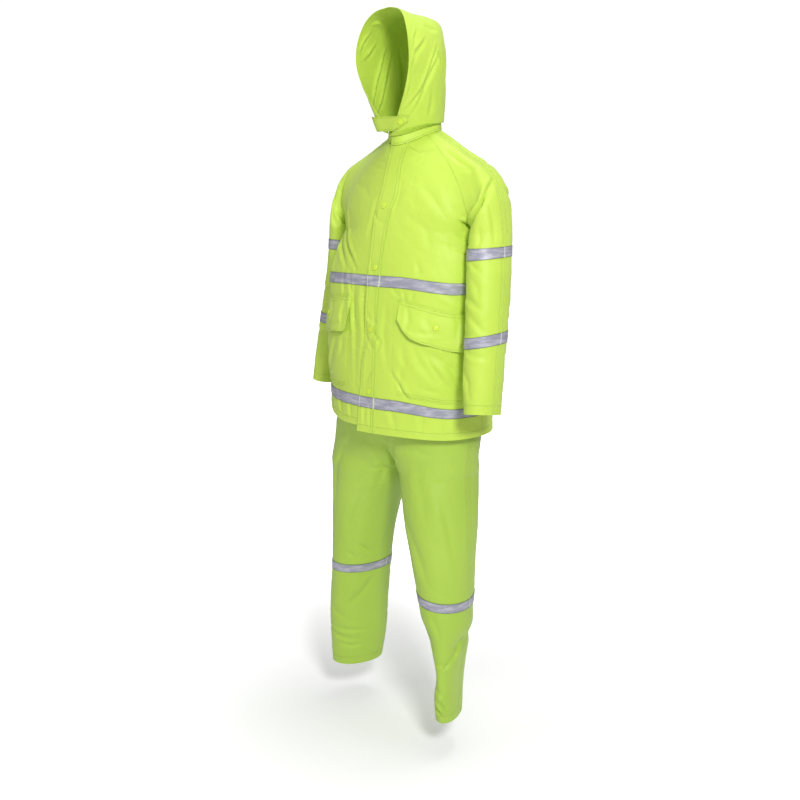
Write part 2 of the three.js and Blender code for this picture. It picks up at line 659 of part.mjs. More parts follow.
// A closed wall over a grid: its outer face stands off the grid by outer, its inner face by inner.
function wall(grid, outer, inner) {
  const { normals, facing, wrap } = grid;
  const points = trimmed(grid);
  const [rows, columns] = [points.length, points[0].length];
  const position = [];
  for (const off of [outer, inner])
    points.forEach((row, r) =>
      row.forEach((p, c) => {
        const q = p.clone().addScaledVector(normals[r][c], off);
        position.push(q.x, q.y, q.z);
      }),
    );
  const index = [];
  const id = (layer, r, c) => (layer * rows + r) * columns + (c % columns);
  const quad = (a, b, c, d) => {
    if (facing > 0) index.push(a, b, c, a, c, d);
    else index.push(a, c, b, a, d, c);
  };
  // A cell of the grid is cut along its shorter diagonal.
  const shorter = (r, c) => {
    const next = (c + 1) % columns;
    const [low, high] = [grid.points[r], grid.points[r + 1]];
    return low[c].distanceToSquared(high[next]) <= low[next].distanceToSquared(high[c]);
  };
  const spans = wrap ? columns : columns - 1;
  for (let r = 0; r < rows - 1; r++)
    for (let c = 0; c < spans; c++) {
      const corners = [
        [r, c],
        [r, c + 1],
        [r + 1, c + 1],
        [r + 1, c],
      ];
      if (!shorter(r, c)) corners.push(corners.shift());
      quad(...corners.map((corner) => id(0, ...corner)));
      const [first, ...others] = corners;
      quad(...[first, ...others.reverse()].map((corner) => id(1, ...corner)));
    }
  for (let c = 0; c < spans; c++) {
    quad(id(1, 0, c), id(1, 0, c + 1), id(0, 0, c + 1), id(0, 0, c));
    quad(id(0, rows - 1, c), id(0, rows - 1, c + 1), id(1, rows - 1, c + 1), id(1, rows - 1, c));
  }
  for (let r = 0; !wrap && r < rows - 1; r++) {
    quad(id(1, r, 0), id(0, r, 0), id(0, r + 1, 0), id(1, r + 1, 0));
    quad(id(0, r, spans), id(1, r, spans), id(1, r + 1, spans), id(0, r + 1, spans));
  }
  const geometry = new THREE.BufferGeometry();
  geometry.setAttribute("position", new THREE.Float32BufferAttribute(position, 3));
  geometry.setIndex(index);
  geometry.computeVertexNormals();
  return geometry;
}

// Part of a panel, by its first and last rows and columns.
function part(source, [firstRow, lastRow], [firstColumn, lastColumn]) {
  const cut = (rows) =>
    rows.slice(firstRow, lastRow + 1).map((row) => row.slice(firstColumn, lastColumn + 1));
  return { points: cut(source.points), normals: cut(source.normals), facing: source.facing, wrap: false };
}

// The columns of two panels that meet in the middle of the front, joined into one grid.
function joined(right, left, rightColumns, leftColumns, [firstRow, lastRow]) {
  const merge = (name) =>
    left[name]
      .slice(firstRow, lastRow + 1)
      .map((row, r) => [
        ...rightColumns.map((c) => right[name][firstRow + r][c]),
        ...leftColumns.map((c) => row[c]),
      ]);
  return { points: merge("points"), normals: merge("normals"), facing: 1, wrap: false };
}

// The point and the normal of a grid at a height, at a share of the way across a column span.
function spot(grid, column, share, height) {
  const at = (r, c, name) => grid[name][r][c].clone().lerp(grid[name][r][c + 1], share);
  let r = 1;
  while (r < grid.points.length - 1 && at(r, column, "points").z < height) r++;
  const low = at(r - 1, column, "points");
  const high = at(r, column, "points");
  const t = (height - low.z) / (high.z - low.z);
  const across = grid.points[r][column + 1].clone().sub(grid.points[r][column]);
  const normal = across.cross(high.clone().sub(low)).multiplyScalar(grid.facing).normalize();
  return { point: low.lerp(high, t), normal };
}

// The part itself

const suit = new THREE.Group();
suit.position.z = -NECK_HEIGHT;

const finish = (colour, roughness, metalness) =>
  new THREE.MeshStandardMaterial({ color: colour, roughness, metalness });
const jacketCloth = finish(COLOURS.jacket, 0.55, 0);
const trouserCloth = finish(COLOURS.trousers, 0.55, 0);
const tapeCloth = finish(COLOURS.tape, 0.4, 0.3);
const snapPlastic = finish(COLOURS.snap, 0.4, 0);

function add(name, geometry, material) {
  const mesh = new THREE.Mesh(geometry, material);
  mesh.name = name;
  suit.add(mesh);
  return mesh;
}

const grids = { back: backPoints() };
for (const sideName of ["left", "right"]) {
  grids[`front_${sideName}`] = frontPoints(sideName);
  for (const half of ["front", "back"]) grids[`sleeve_${half}_${sideName}`] = sleevePoints(sideName, half);
}
grids.collar = collarPoints(neckline(grids));
for (const sideName of ["left", "right"]) {
  grids[`hood_${sideName}`] = hoodPoints(SIDES[sideName], grids.collar);
  for (const half of ["front", "back"]) grids[`trouser_${half}_${sideName}`] = trouserPoints(sideName, half);
}
const waist = (name) => grids[name][grids[name].length - 1];
const waistLine = [
  ...waist("trouser_front_left"),
  ...waist("trouser_back_left").slice(0, -1).reverse(),
  ...waist("trouser_back_right").slice(1),
  ...waist("trouser_front_right").slice(1, -1).reverse(),
];
grids.waistband = [0, WAISTBAND_HEIGHT].map((rise) => waistLine.map((p) => vector(p.x, p.y, p.z + rise)));

const FACING = {
  back: 1,
  collar: 1,
  waistband: 1,
  front_left: 1,
  front_right: -1,
  hood_left: 1,
  hood_right: -1,
  sleeve_front_left: 1,
  sleeve_front_right: -1,
  sleeve_back_left: -1,
  sleeve_back_right: 1,
  trouser_front_left: 1,
  trouser_front_right: -1,
  trouser_back_left: -1,
  trouser_back_right: 1,
};
const panels = {};
for (const [name, facing] of Object.entries(FACING))
  panels[name] = panel(folded(name, grids[name], facing), facing, name === "waistband");
// Both edges of a hood half lie in one plane where they meet at the crown, so its normal there comes from
// beside it.
for (const sideName of ["left", "right"]) {
  const { normals } = panels[`hood_${sideName}`];
  const [last, end] = [normals.length - 1, HOOD_STEPS];
  normals[last][end].addVectors(normals[last - 1][end], normals[last][end - 1]).normalize();
}
mitre(Object.values(panels));
for (const [name, grid] of Object.entries(panels)) {
  const material = name.startsWith("trouser") || name === "waistband" ? trouserCloth : jacketCloth;
  add(name, wall(grid, 0, -CLOTH), material);
}

// What lies on the panels, each piece the gap of a seam above what it lies on

const allRows = [0, grids.back.length - 1];
const flapGrid = joined(panels.front_right, panels.front_left, [1], [0, 1], allRows);
const flapTop = GAP + FLAP;
add("storm_flap", wall(flapGrid, flapTop, GAP), jacketCloth);

const frontEnd = FRONT_ANGLES.left.length + 1;
for (const [ring, rows] of Object.entries({ chest: CHEST_TAPE_ROWS, hem: HEM_TAPE_ROWS })) {
  const strips = {
    left: part(panels.front_left, rows, [1, frontEnd]),
    right: part(panels.front_right, rows, [1, frontEnd]),
    back: part(panels.back, rows, [0, BACK_ANGLES.length - 1]),
  };
  for (const [place, strip] of Object.entries(strips))
    add(`tape_${ring}_${place}`, wall(strip, GAP + TAPE, GAP), tapeCloth);
  const flapStrip = part(flapGrid, rows, [0, 2]);
  add(`tape_${ring}_flap`, wall(flapStrip, flapTop + GAP + TAPE, flapTop + GAP), tapeCloth);
}

for (const sideName of ["left", "right"]) {
  const front = panels[`front_${sideName}`];
  add(`pocket_${sideName}`, wall(part(front, POCKET_ROWS, POCKET_COLUMNS), GAP + POCKET, GAP), jacketCloth);
  const flap = part(front, POCKET_FLAP_ROWS, POCKET_COLUMNS);
  const low = 2 * GAP + POCKET;
  add(`pocket_flap_${sideName}`, wall(flap, low + FLAP, low), jacketCloth);
  for (const half of ["front", "back"]) {
    const sleeve = panels[`sleeve_${half}_${sideName}`];
    for (const [place, rows] of Object.entries(SLEEVE_TAPE_ROWS))
      add(
        `tape_sleeve_${place}_${half}_${sideName}`,
        wall(part(sleeve, rows, [0, SLEEVE_STEPS]), GAP + TAPE, GAP),
        tapeCloth,
      );
    const leg = panels[`trouser_${half}_${sideName}`];
    const strip = part(leg, LEG_TAPE_ROWS, [0, LEG_STEPS]);
    add(`tape_leg_${half}_${sideName}`, wall(strip, GAP + TAPE, GAP), tapeCloth);
  }
}

const strapGrid = joined(
  panels.hood_right,
  panels.hood_left,
  Array.from({ length: STRAP_REACH.right + 1 }, (_, i) => STRAP_REACH.right - i),
  Array.from({ length: STRAP_REACH.left + 1 }, (_, i) => i),
  STRAP_ROWS,
);
add("throat_strap", wall(strapGrid, GAP + FLAP, GAP), jacketCloth);

// Snaps: low domed caps

function snap(name, grid, column, share, height, off) {
  const { radius, height: rise, sides } = SNAP;
  const outline = [
    [0, 0],
    [radius, 0],
    [radius, rise * 0.5],
    [radius * 0.72, rise * 0.9],
    [0, rise],
  ];
  const geometry = new THREE.LatheGeometry(
    outline.map(([x, y]) => new THREE.Vector2(x, y)),
    sides,
  );
  const { point, normal } = spot(grid, column, share, height);
  const mesh = add(name, geometry, snapPlastic);
  mesh.position.copy(point).addScaledVector(normal, off + GAP);
  mesh.quaternion.setFromUnitVectors(vector(0, 1, 0), normal);
}

STORM_SNAP_HEIGHTS.forEach((z, i) => snap(`snap_storm_flap_${i + 1}`, flapGrid, 1, 0.3, z, flapTop));
for (const sideName of ["left", "right"]) {
  const flap = part(panels[`front_${sideName}`], POCKET_FLAP_ROWS, POCKET_COLUMNS);
  snap(`snap_pocket_${sideName}`, flap, 3, 0, POCKET_SNAP_HEIGHT, 2 * GAP + POCKET + FLAP);
}
snap("snap_throat_strap", strapGrid, STRAP_REACH.right + 1, 0.5, STRAP_SNAP_HEIGHT, 2 * GAP + FLAP);

export default suit;
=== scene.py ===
import math

import bpy
import numpy as np
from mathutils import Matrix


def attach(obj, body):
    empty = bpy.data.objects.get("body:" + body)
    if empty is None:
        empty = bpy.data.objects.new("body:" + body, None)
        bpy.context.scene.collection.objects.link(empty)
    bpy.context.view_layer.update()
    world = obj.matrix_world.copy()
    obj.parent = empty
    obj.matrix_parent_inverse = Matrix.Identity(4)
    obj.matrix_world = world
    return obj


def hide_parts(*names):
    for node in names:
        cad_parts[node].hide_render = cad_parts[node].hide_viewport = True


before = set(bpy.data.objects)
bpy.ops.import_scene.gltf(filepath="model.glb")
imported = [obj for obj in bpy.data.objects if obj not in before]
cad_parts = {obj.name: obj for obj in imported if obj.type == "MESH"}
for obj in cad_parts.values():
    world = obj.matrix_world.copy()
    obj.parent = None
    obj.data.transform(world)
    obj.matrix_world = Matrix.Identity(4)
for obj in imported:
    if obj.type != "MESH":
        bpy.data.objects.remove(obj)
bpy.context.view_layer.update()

# Rain suit: hooded jacket and trousers in lime coated cloth, worn form, hollow.
# The tables are in millimetres, with heights counted from the floor that the wearer stands on.
# Pieces are made in those units and then moved to the frame, whose origin is the middle of the neck opening.
NECK_HEIGHT = 1585
ARMPIT = 1360
FORK = 735
HIP = 850  # the lowest height of the torso's table
YOKE_LENGTH = 260
RISE_LENGTH = 290
# Grids: the steps between rows, in millimetres and in the hood's own h, the columns of each panel, and the fine
# columns for each column of a front's table.
STEP = 4.0
HOOD_STEP = 0.013
BACK_COLUMNS, SLEEVE_COLUMNS, LEG_COLUMNS, HOOD_COLUMNS = 181, 53, 85, 76
PER = 8
THICK = 1.1  # of the cloth
STITCH_LIFT = 0.3
TAPE_LIFT = 1.3
WAISTBAND = 36
SIDES = {"left": 1, "right": -1}
BODY_TAPES = {"chest": (1225, 1252), "hem": (921, 949)}
SLEEVE_TAPES = {"lower": (1094, 1121), "upper": (1298, 1325)}
LEG_TAPE = (407, 431)
rng = np.random.default_rng(7)


def table(names, rows):
    """Named columns of a table of rows, each an array."""
    columns = np.array(rows, float).T
    return dict(zip(names.split(), columns))


TORSO = table("z right left front back square_right square_left", [
    (850, 234, 226, 188, 172, 2.2, 2.1),
    (950, 236, 223, 183, 164, 2.25, 2.1),
    (1050, 235, 219, 178, 156, 2.45, 2.1),
    (1150, 232, 214, 170, 150, 2.7, 2.1),
    (1250, 224, 208, 160, 146, 2.9, 2.1),
    (1305, 211, 204, 153, 142, 2.5, 2),
    (1360, 201, 201, 146, 138, 2, 2),
])
# Rows of the body up to the armholes, and how far each hangs lower on the left and right side.
BODY = table("z left right", [
    (858, 7, -34), (875, 9, -26), (898, 12, -13), (921, 16, -4), (949, 20, 0), (966, 22, 6),
    (1000, 24, 12), (1040, 28, 20), (1078, 31, 28), (1115, 34, 34), (1140, 35, 32), (1165, 36, 30),
    (1190, 36, 28), (1225, 15, 7), (1252, 14, 7), (1290, 9, 5), (1325, 4, 2), (1360, 0, 0),
])
FRONT_ANGLES = {
    "left": [14, 23, 31, 39.5, 48, 56.5, 65, 73, 81.5, 90],
    "right": [14, 20, 27.5, 35.5, 43.5, 51.5, 60, 69, 79.5, 90],
}
# Storm flap: reach of its free edge and of its stitched edge from the middle, and the drape's sideways shift.
STORM_FLAP = table("z free stitch shift", [
    (850, 27, 24, 0), (940, 22, 24, 0), (1120, 12, 24, 0), (1250, 12, 25, 0), (1360, 11, 31, 3),
    (1405, 11, 37, 7), (1456, 9, 42, 18), (1510, 9, 38, 13), (1566, 10, 34, 8),
])
CENTRE_FRONT = table("v y z bend", [
    (0, -146, 1360, 90), (0.25, -139, 1415, 54), (0.5, -124, 1470, 30), (0.75, -102, 1524, 30),
    (1, -80, 1566, 56),
])
CENTRE_BACK = table("v y z bend", [
    (0, 138, 1360, 90), (0.25, 137, 1425, 56), (0.5, 128, 1490, 36), (0.75, 103, 1556, 34),
    (1, 68, 1608, 52),
])
RAGLAN = {
    "front": [(201, 0, 1360), (234, -94, 1430), (154, -24, 1527), (58, -22, 1592)],
    "back": [(201, 0, 1360), (230, 104, 1440), (146, 60, 1552), (54, 34, 1604)],
}
SHOULDER = table("v left right y z reach across out up", [
    (0, 285, 268, 0, 1360, 88, 0, 88, 0),
    (0.25, 270, 245, 0, 1445, 70, 30, 24, 14),
    (0.5, 230, 216, 0, 1506, 50, 38, -4, 22),
    (0.75, 148, 144, 3, 1552, 28, 22, -8, 15),
    (1, 64, 64, 6, 1600, 12, 2, -8, 3),
])
SLEEVE = {
    "left": table("z x y side depth rise_x rise_y", [
        (930, 290, -86, 38, 53, 0.11, -0.16),
        (1040, 281, -70, 42, 58, 0.15, 0),
        (1150, 271, -48, 44, 63, 0.17, 0.06),
        (1260, 258, -26, 45, 66, 0.14, 0.05),
        (1310, 249, -14, 44, 66, 0.08, 0.03),
        (1360, 243, 0, 42, 66, 0, 0),
    ]),
    "right": table("z x y side depth rise_x rise_y", [
        (930, -318, -3, 36, 51, -0.15, 0),
        (1040, -302, 9, 40, 57, -0.15, 0),
        (1150, -285, 20, 41, 61, -0.12, 0),
        (1250, -269, 24, 40, 63, -0.08, 0),
        (1305, -252, 15, 38, 65, -0.04, 0),
        (1360, -234.5, 0, 33.5, 66, 0, 0),
    ]),
}
SLEEVE_STOPS = [930, 950, *SLEEVE_TAPES["lower"], *SLEEVE_TAPES["upper"], ARMPIT]
COLLAR_HEIGHT = 44
COLLAR_LEAN = 0.07
# Left half of the hood, by h from its lower edge to the seam along the top.
HOOD = table("h rim_x rim_y rim_z width back_y back_z", [
    (0, 5, -88, 1586, 74, 78, 1624),
    (0.08, 13, -96, 1600, 76, 79, 1636),
    (0.2, 30, -102, 1634, 80, 78, 1662),
    (0.34, 57, -111, 1680, 84, 76, 1700),
    (0.48, 77, -119, 1722, 87, 74, 1742),
    (0.6, 86, -123, 1760, 88, 72, 1778),
    (0.7, 84, -123, 1798, 84, 71, 1808),
    (0.79, 74, -119, 1833, 75, 72, 1833),
    (0.87, 58, -112, 1862, 61, 75, 1851),
    (0.94, 35, -104, 1880, 37, 78, 1862),
    (1, 0, -98, 1887, 0, 80, 1867),
])
HOOD_STAND = table("share off", [(0, 5), (0.2, 0.9), (0.45, 0.9), (0.7, 5), (1, 7)])
LEG = {
    "left": table("z x y side depth turn", [
        (102, 184, -70, 30, 64, 21),
        (140, 182, -68, 30, 75, 21),
        (200, 175, -62, 33, 85, 20),
        (300, 165, -55, 51, 90, 18),
        (420, 155, -50, 67, 93, 14),
        (520, 141, -45, 78, 98, 9),
        (620, 122, -32, 89, 106, 4),
        (735, 94, -8, 94, 116, 0),
    ]),
    "right": table("z x y side depth turn", [
        (120, -205, -13, 52, 76, -19),
        (200, -199, -13, 57, 84, -19),
        (300, -195, -13, 62, 88, -17),
        (420, -182, -15, 67, 89, -13),
        (520, -171, -17, 74, 94, -9),
        (620, -155, -16, 88, 104, -4),
        (735, -124, -8, 124, 118, 0),
    ]),
}
RISE = {
    "front": table("v y z side_z reach across out left right", [
        (0, -8, 735, 735, 155, 0, 155, 0, 0),
        (0.15, -52, 750, 770, 138, 10, 104, 26, 0),
        (0.3, -96, 790, 806, 122, 44, 66, 26, 0),
        (0.5, -138, 850, 862, 106, 118, 18, 28, 2),
        (0.75, -158, 935, 940, 96, 130, 0, 20, 0.8),
        (1, -156, 1010, 1012, 88, 122, 0, 16, 16),
    ]),
    "back": table("v y z side_z reach across out left right", [
        (0, -8, 735, 735, 155, 0, 155, 0, 0),
        (0.15, 52, 748, 770, 134, 14, 86, 26, 0),
        (0.3, 102, 786, 806, 114, 56, 42, 26, 0),
        (0.5, 134, 850, 862, 90, 122, 0, 28, 2),
        (0.75, 143, 940, 940, 84, 124, 0, 20, 0.8),
        (1, 140, 1016, 1012, 80, 122, 0, 16, 16),
    ]),
}

# Surfaces


def lookup(rows, key, at):
    """Every column at the values of the key: a cubic between each two rows, whose slope at a row is that of the line
    from the row before it to the row after it."""
    at = np.asarray(at, float)
    k = rows[key]
    i = np.clip(np.searchsorted(k, at), 1, len(k) - 1)
    a, b = i - 1, i
    before, after = np.maximum(i - 2, 0), np.minimum(i + 1, len(k) - 1)
    span = k[b] - k[a]
    t = np.clip((at - k[a]) / span, 0, 1)
    found = {}
    for name, c in rows.items():
        slope_a = (c[b] - c[before]) / (k[b] - k[before]) * span
        slope_b = (c[after] - c[a]) / (k[after] - k[a]) * span
        found[name] = (
            (2 * t**3 - 3 * t**2 + 1) * c[a]
            + (t**3 - 2 * t**2 + t) * slope_a
            + (3 * t**2 - 2 * t**3) * c[b]
            + (t**3 - t**2) * slope_b
        )
    return found


def spread(stops, step):
    """Values from the first stop to the last, evenly spaced between stops and no further apart than step."""
    counts = [max(1, math.ceil(abs(b - a) / step - 1e-6)) for a, b in zip(stops, stops[1:])]
    parts = [np.linspace(a, b, count + 1)[:-1] for a, b, count in zip(stops, stops[1:], counts)]
    return np.append(np.concatenate(parts), stops[-1])


def walked(points, axis=0):
    """How far each point lies from the first one along its row: the sum of the steps up to it."""
    steps = np.cumsum(np.linalg.norm(np.diff(points, axis=axis), axis=-1), axis)
    return np.insert(steps, 0, 0, axis)


def along_path(at, walk, points):
    """Points at given distances along a path whose own points lie at the distances walk: straight in between."""
    return np.stack([np.interp(at, walk, points[:, i]) for i in range(3)], -1)


def bezier(a, b, c, d, t):
    """Points of cubic curves at t: start a, control points b and c, end d."""
    t = np.asarray(t, float)[..., None]
    s = 1 - t
    return s**3 * a + 3 * s**2 * t * b + 3 * s * t**2 * c + t**3 * d


def point(x, y, z):
    """Arrays of x, y and z joined into points."""
    return np.stack(np.broadcast_arrays(x, y, z), -1).astype(float)


def smoothstep(x, low, high):
    """0 up to low and 1 from high on, with the cubic 3t^2 - 2t^3 between them."""
    t = np.clip((x - low) / (high - low), 0, 1)
    return t * t * (3 - 2 * t)


def bell(x, middle, width):
    """A bell curve: e to the power of minus the squared distance from the middle, in widths."""
    return np.exp(-(((x - middle) / width) ** 2))


def torso(angle, z):
    """Body below the armholes. In polar form each quarter is a superellipse of the half-width and the half-depth at
    that height; the rows sink by the side's drop between the middle of the front and the middle of the back."""
    turn = np.abs(angle)
    left = angle > 0
    fall = smoothstep(turn, 18, 65) * (1 - smoothstep(turn, 115, 165))
    drop = lookup(BODY, "z", z)
    z = z - np.where(left, drop["left"], drop["right"]) * fall
    size = lookup(TORSO, "z", z)
    square = np.where(turn > 90, 2, np.where(left, size["square_left"], size["square_right"]))
    across, along = np.abs(np.sin(np.radians(angle))), np.abs(np.cos(np.radians(angle)))
    reach = (across**square + along**square) ** (-1 / square)
    width = np.where(left, size["left"], size["right"])
    depth = np.where(turn < 90, -size["front"], size["back"])
    return point(np.sign(angle) * width * reach * across, depth * reach * along, z)


def yoke(side, share, v, centre, seam):
    """Body above the armholes. A row turns like the arc of an ellipse from the middle line to the raglan seam."""
    mid = lookup(centre, "v", v)
    end = bezier(*np.array(seam, float), v)
    bend = np.radians(mid["bend"])
    across = np.sin(share * bend) / np.sin(bend)
    along = (1 - np.cos(share * bend)) / (1 - np.cos(bend))
    return point(
        side * end[..., 0] * across,
        mid["y"] + (end[..., 1] - mid["y"]) * along,
        mid["z"] + (end[..., 2] - mid["z"]) * along,
    )


V_ROWS = spread([0, 1], STEP / YOKE_LENGTH)
YOKE_HEIGHTS = ARMPIT + YOKE_LENGTH * V_ROWS
RISE_ROWS = spread([0, 1], STEP / RISE_LENGTH)
Z_ROWS = spread(list(BODY["z"]), STEP)
SLEEVE_Z = spread(SLEEVE_STOPS, STEP)


def front_panel(name, columns):
    """One front. Its columns go by share from the middle to the side seam: 0 the middle, 1 the flap's edge, and then
    the angles of its table, drawn over so that they start past the flap. The yoke's rows follow the centre front."""
    side = SIDES[name]
    angles = np.array(FRONT_ANGLES[name], float) / 90

    def shares(z, width, bend):
        edge = lookup(STORM_FLAP, "z", z)
        reach = edge["stitch" if side > 0 else "free"]
        first = np.degrees(np.arcsin(reach * np.sin(np.radians(bend)) / width)) / bend
        start = np.maximum(angles[0], first + 0.07)[:, None]
        rest = start + (angles - angles[0]) * (1 - start) / (1 - angles[0])
        stops = np.hstack([np.zeros((len(z), 1)), first[:, None], rest])
        return np.array([np.interp(columns, np.arange(12), row) for row in stops])

    low = Z_ROWS[:-1]
    s = shares(low, lookup(TORSO, "z", low)[name], 90.0)
    lower = torso(side * np.maximum(s, 1e-6) * 90, low[:, None])
    lower[..., 0] += lookup(STORM_FLAP, "z", low)["shift"][:, None] * (1 - s) ** 2
    mid = lookup(CENTRE_FRONT, "v", V_ROWS)
    width = bezier(*np.array(RAGLAN["front"], float), V_ROWS)[:, 0]
    s = shares(mid["z"], width, mid["bend"])
    upper = yoke(side, s, V_ROWS[:, None], CENTRE_FRONT, RAGLAN["front"])
    upper[..., 0] += lookup(STORM_FLAP, "z", mid["z"])["shift"][:, None] * (1 - s) ** 2
    return np.concatenate([lower, upper])


def back_panel():
    """The back from the left side seam to the right one."""
    a = np.linspace(90, -90, BACK_COLUMNS)[None, :]
    a = np.where(np.abs(a) < 1e-9, 1e-6, a)
    angle = np.sign(a) * (180 - np.abs(a))
    lower = torso(np.broadcast_to(angle, (len(Z_ROWS) - 1, a.shape[1])), Z_ROWS[:-1, None])
    share = np.broadcast_to(np.abs(a) / 90, (len(V_ROWS), a.shape[1]))
    return np.concatenate([lower, yoke(np.sign(a), share, V_ROWS[:, None], CENTRE_BACK, RAGLAN["back"])])


def sleeve_half(name, half):
    """Half a sleeve from the underarm seam to the overarm seam. Below the armhole each row is half an oval; above it,
    a row leaves the raglan seam, rises over the shoulder and comes down on its ridge."""
    side, facing = SIDES[name], -1 if half == "front" else 1
    t = np.linspace(0, 1, SLEEVE_COLUMNS)[None, :]
    z = SLEEVE_Z[:-1, None]
    s = lookup(SLEEVE[name], "z", z)
    full = 4 / 3 * s["depth"] * facing
    near = point(s["x"] - side * s["side"], s["y"], z)
    far = point(s["x"] + side * s["side"], s["y"], z)
    push = point(0, full, 0)
    lower = bezier(near, near + push, far + push, far, t)
    lower[..., 2] += (lower[..., 0] - s["x"]) * s["rise_x"] + (lower[..., 1] - s["y"]) * s["rise_y"]
    v = V_ROWS[:, None]
    s = lookup(SHOULDER, "v", v)
    start = bezier(*np.array(RAGLAN[half], float), v) * [side, 1, 1]
    ridge = point(side * s[name], s["y"], s["z"])
    upper = bezier(
        start,
        start + point(side * s["across"], facing * s["out"], s["up"]),
        ridge + point(0, facing * s["reach"], 0),
        ridge,
        t,
    )
    return np.concatenate([lower, upper])


def leg_heights(name):
    """The heights of a leg's rows below the fork, with a row along each edge of its tape."""
    return spread([LEG[name]["z"][0], *LEG_TAPE, FORK], STEP)


def leg_half(name, half):
    """Half a trouser leg from the inseam to the side seam. Below the fork each row is half an oval, turned with the
    foot; above it, a row goes from the middle seam round the hip to the side seam, just inside the jacket."""
    side, facing = SIDES[name], -1 if half == "front" else 1
    rows = LEG[name]
    t = np.linspace(0, 1, LEG_COLUMNS)[None, :]
    z = leg_heights(name)[:-1, None]
    s = lookup(rows, "z", z)
    turn = np.radians(s["turn"])
    outward = point(side * np.cos(turn), side * np.sin(turn), 0 * z)
    forward = point(-np.sin(turn), np.cos(turn), 0 * z) * facing
    centre = point(s["x"], s["y"], z)
    push = forward * (4 / 3 * s["depth"])[..., None]
    near, far = centre - outward * s["side"][..., None], centre + outward * s["side"][..., None]
    lower = bezier(near, near + push, far + push, far, t)
    v = RISE_ROWS[:, None]
    s = lookup(RISE[half], "v", v)
    inside_jacket = 1.5
    width = lookup(TORSO, "z", np.maximum(s["side_z"], HIP))[name] - inside_jacket - s[name]
    share = (np.minimum(s["side_z"], HIP) - FORK) / (HIP - FORK)
    x = rows["side"][-1] * 2 * (1 - share) + width * share
    start = point(0, s["y"], s["z"])
    end = point(side * x, -8 * (1 - v), s["side_z"])
    upper = bezier(
        start,
        start + point(side * s["across"], facing * s["out"], 0),
        end + point(0, facing * s["reach"], 0),
        end,
        t,
    )
    return np.concatenate([lower, upper])


def collar_band(neck):
    """The band of the collar: the neck seam, raised and drawn in a little towards its top. Its first end, on the
    left half, laps over its last one, and the slit between them shows."""
    walk = walked(neck)
    out = neck * [1, 1, 0] / np.linalg.norm(neck * [1, 1, 0], axis=1)[:, None]
    lap = 4.0 * (1 - smoothstep(walk, 10, 60)) - 6.5 * (1 - smoothstep(walk[-1] - walk, 8, 50))
    line = neck + out * (2.8 + lap)[:, None]
    h = np.linspace(0, COLLAR_HEIGHT, 11)[:, None, None]
    shrink = 1 - COLLAR_LEAN * h / COLLAR_HEIGHT
    return line[None] * np.concatenate([shrink, shrink, np.ones_like(h)], -1) + h * np.array([0, 0, 1])


HOOD_ROWS = spread(list(HOOD["h"]), HOOD_STEP)


def hood_half(name, collar):
    """Half the hood. Each row goes from the rim of the face opening past the ear to the middle of the back, as two
    cubic curves walked at an even pace. The lowest rows ease into the edge that hangs outside the collar."""
    side, n, h = SIDES[name], HOOD_COLUMNS, HOOD_ROWS
    row = {key: value[:, None] for key, value in lookup(HOOD, "h", h).items()}
    ear_y = -25
    rim = point(side * row["rim_x"], row["rim_y"], row["rim_z"])
    ear = point(side * row["width"], ear_y, (row["rim_z"] + row["back_z"]) / 2)
    back = point(0, row["back_y"], row["back_z"])
    front, rear = ear_y - row["rim_y"], row["back_y"] - ear_y
    t = np.broadcast_to(np.linspace(0, 1, 40), (len(h), 40))
    first = bezier(
        rim,
        rim + point(side * 0.55 * (row["width"] - row["rim_x"]), -0.02 * front, 0),
        ear + point(0, -0.5 * front, 0),
        ear,
        t,
    )
    second = bezier(
        ear,
        ear + point(0, 0.55 * rear, 0),
        back + point(side * 0.55 * row["width"], 0, 0),
        back,
        t,
    )
    path = np.concatenate([first, second[:, 1:]], 1)
    grid = np.array([along_path(np.linspace(0, w[-1], n), w, p) for p, w in zip(path, walked(path, 1))])
    half = collar if side > 0 else collar[:, ::-1]
    rear = np.abs(half[0, :, 0]) + np.where(half[0, :, 1] < 0, 1e3, 0)
    half = half[:, : rear.argmin() + 1]
    length = walked(half[4])
    share = np.linspace(0, 1, n)
    height = (23 - 7 * share) / COLLAR_HEIGHT * 10
    levels = np.array([along_path(share * length[-1], length, layer) for layer in half])
    k = np.floor(height).astype(int)
    part = (height - k)[:, None]
    edge = levels[k, np.arange(n)] * (1 - part) + levels[k + 1, np.arange(n)] * part
    along = np.gradient(edge, axis=0)
    outward = np.stack([along[:, 1], -along[:, 0], 0 * along[:, 0]], -1) * side
    outward /= np.linalg.norm(outward, axis=1)[:, None]
    edge = edge + outward * (1.5 + lookup(HOOD_STAND, "share", share)["off"])[:, None]
    edge[-1, 0] = 0
    ease = np.clip(1 - h / 0.08, 0, 1)[:, None, None]
    return grid + (edge - grid[0])[None] * ease


# Cloth


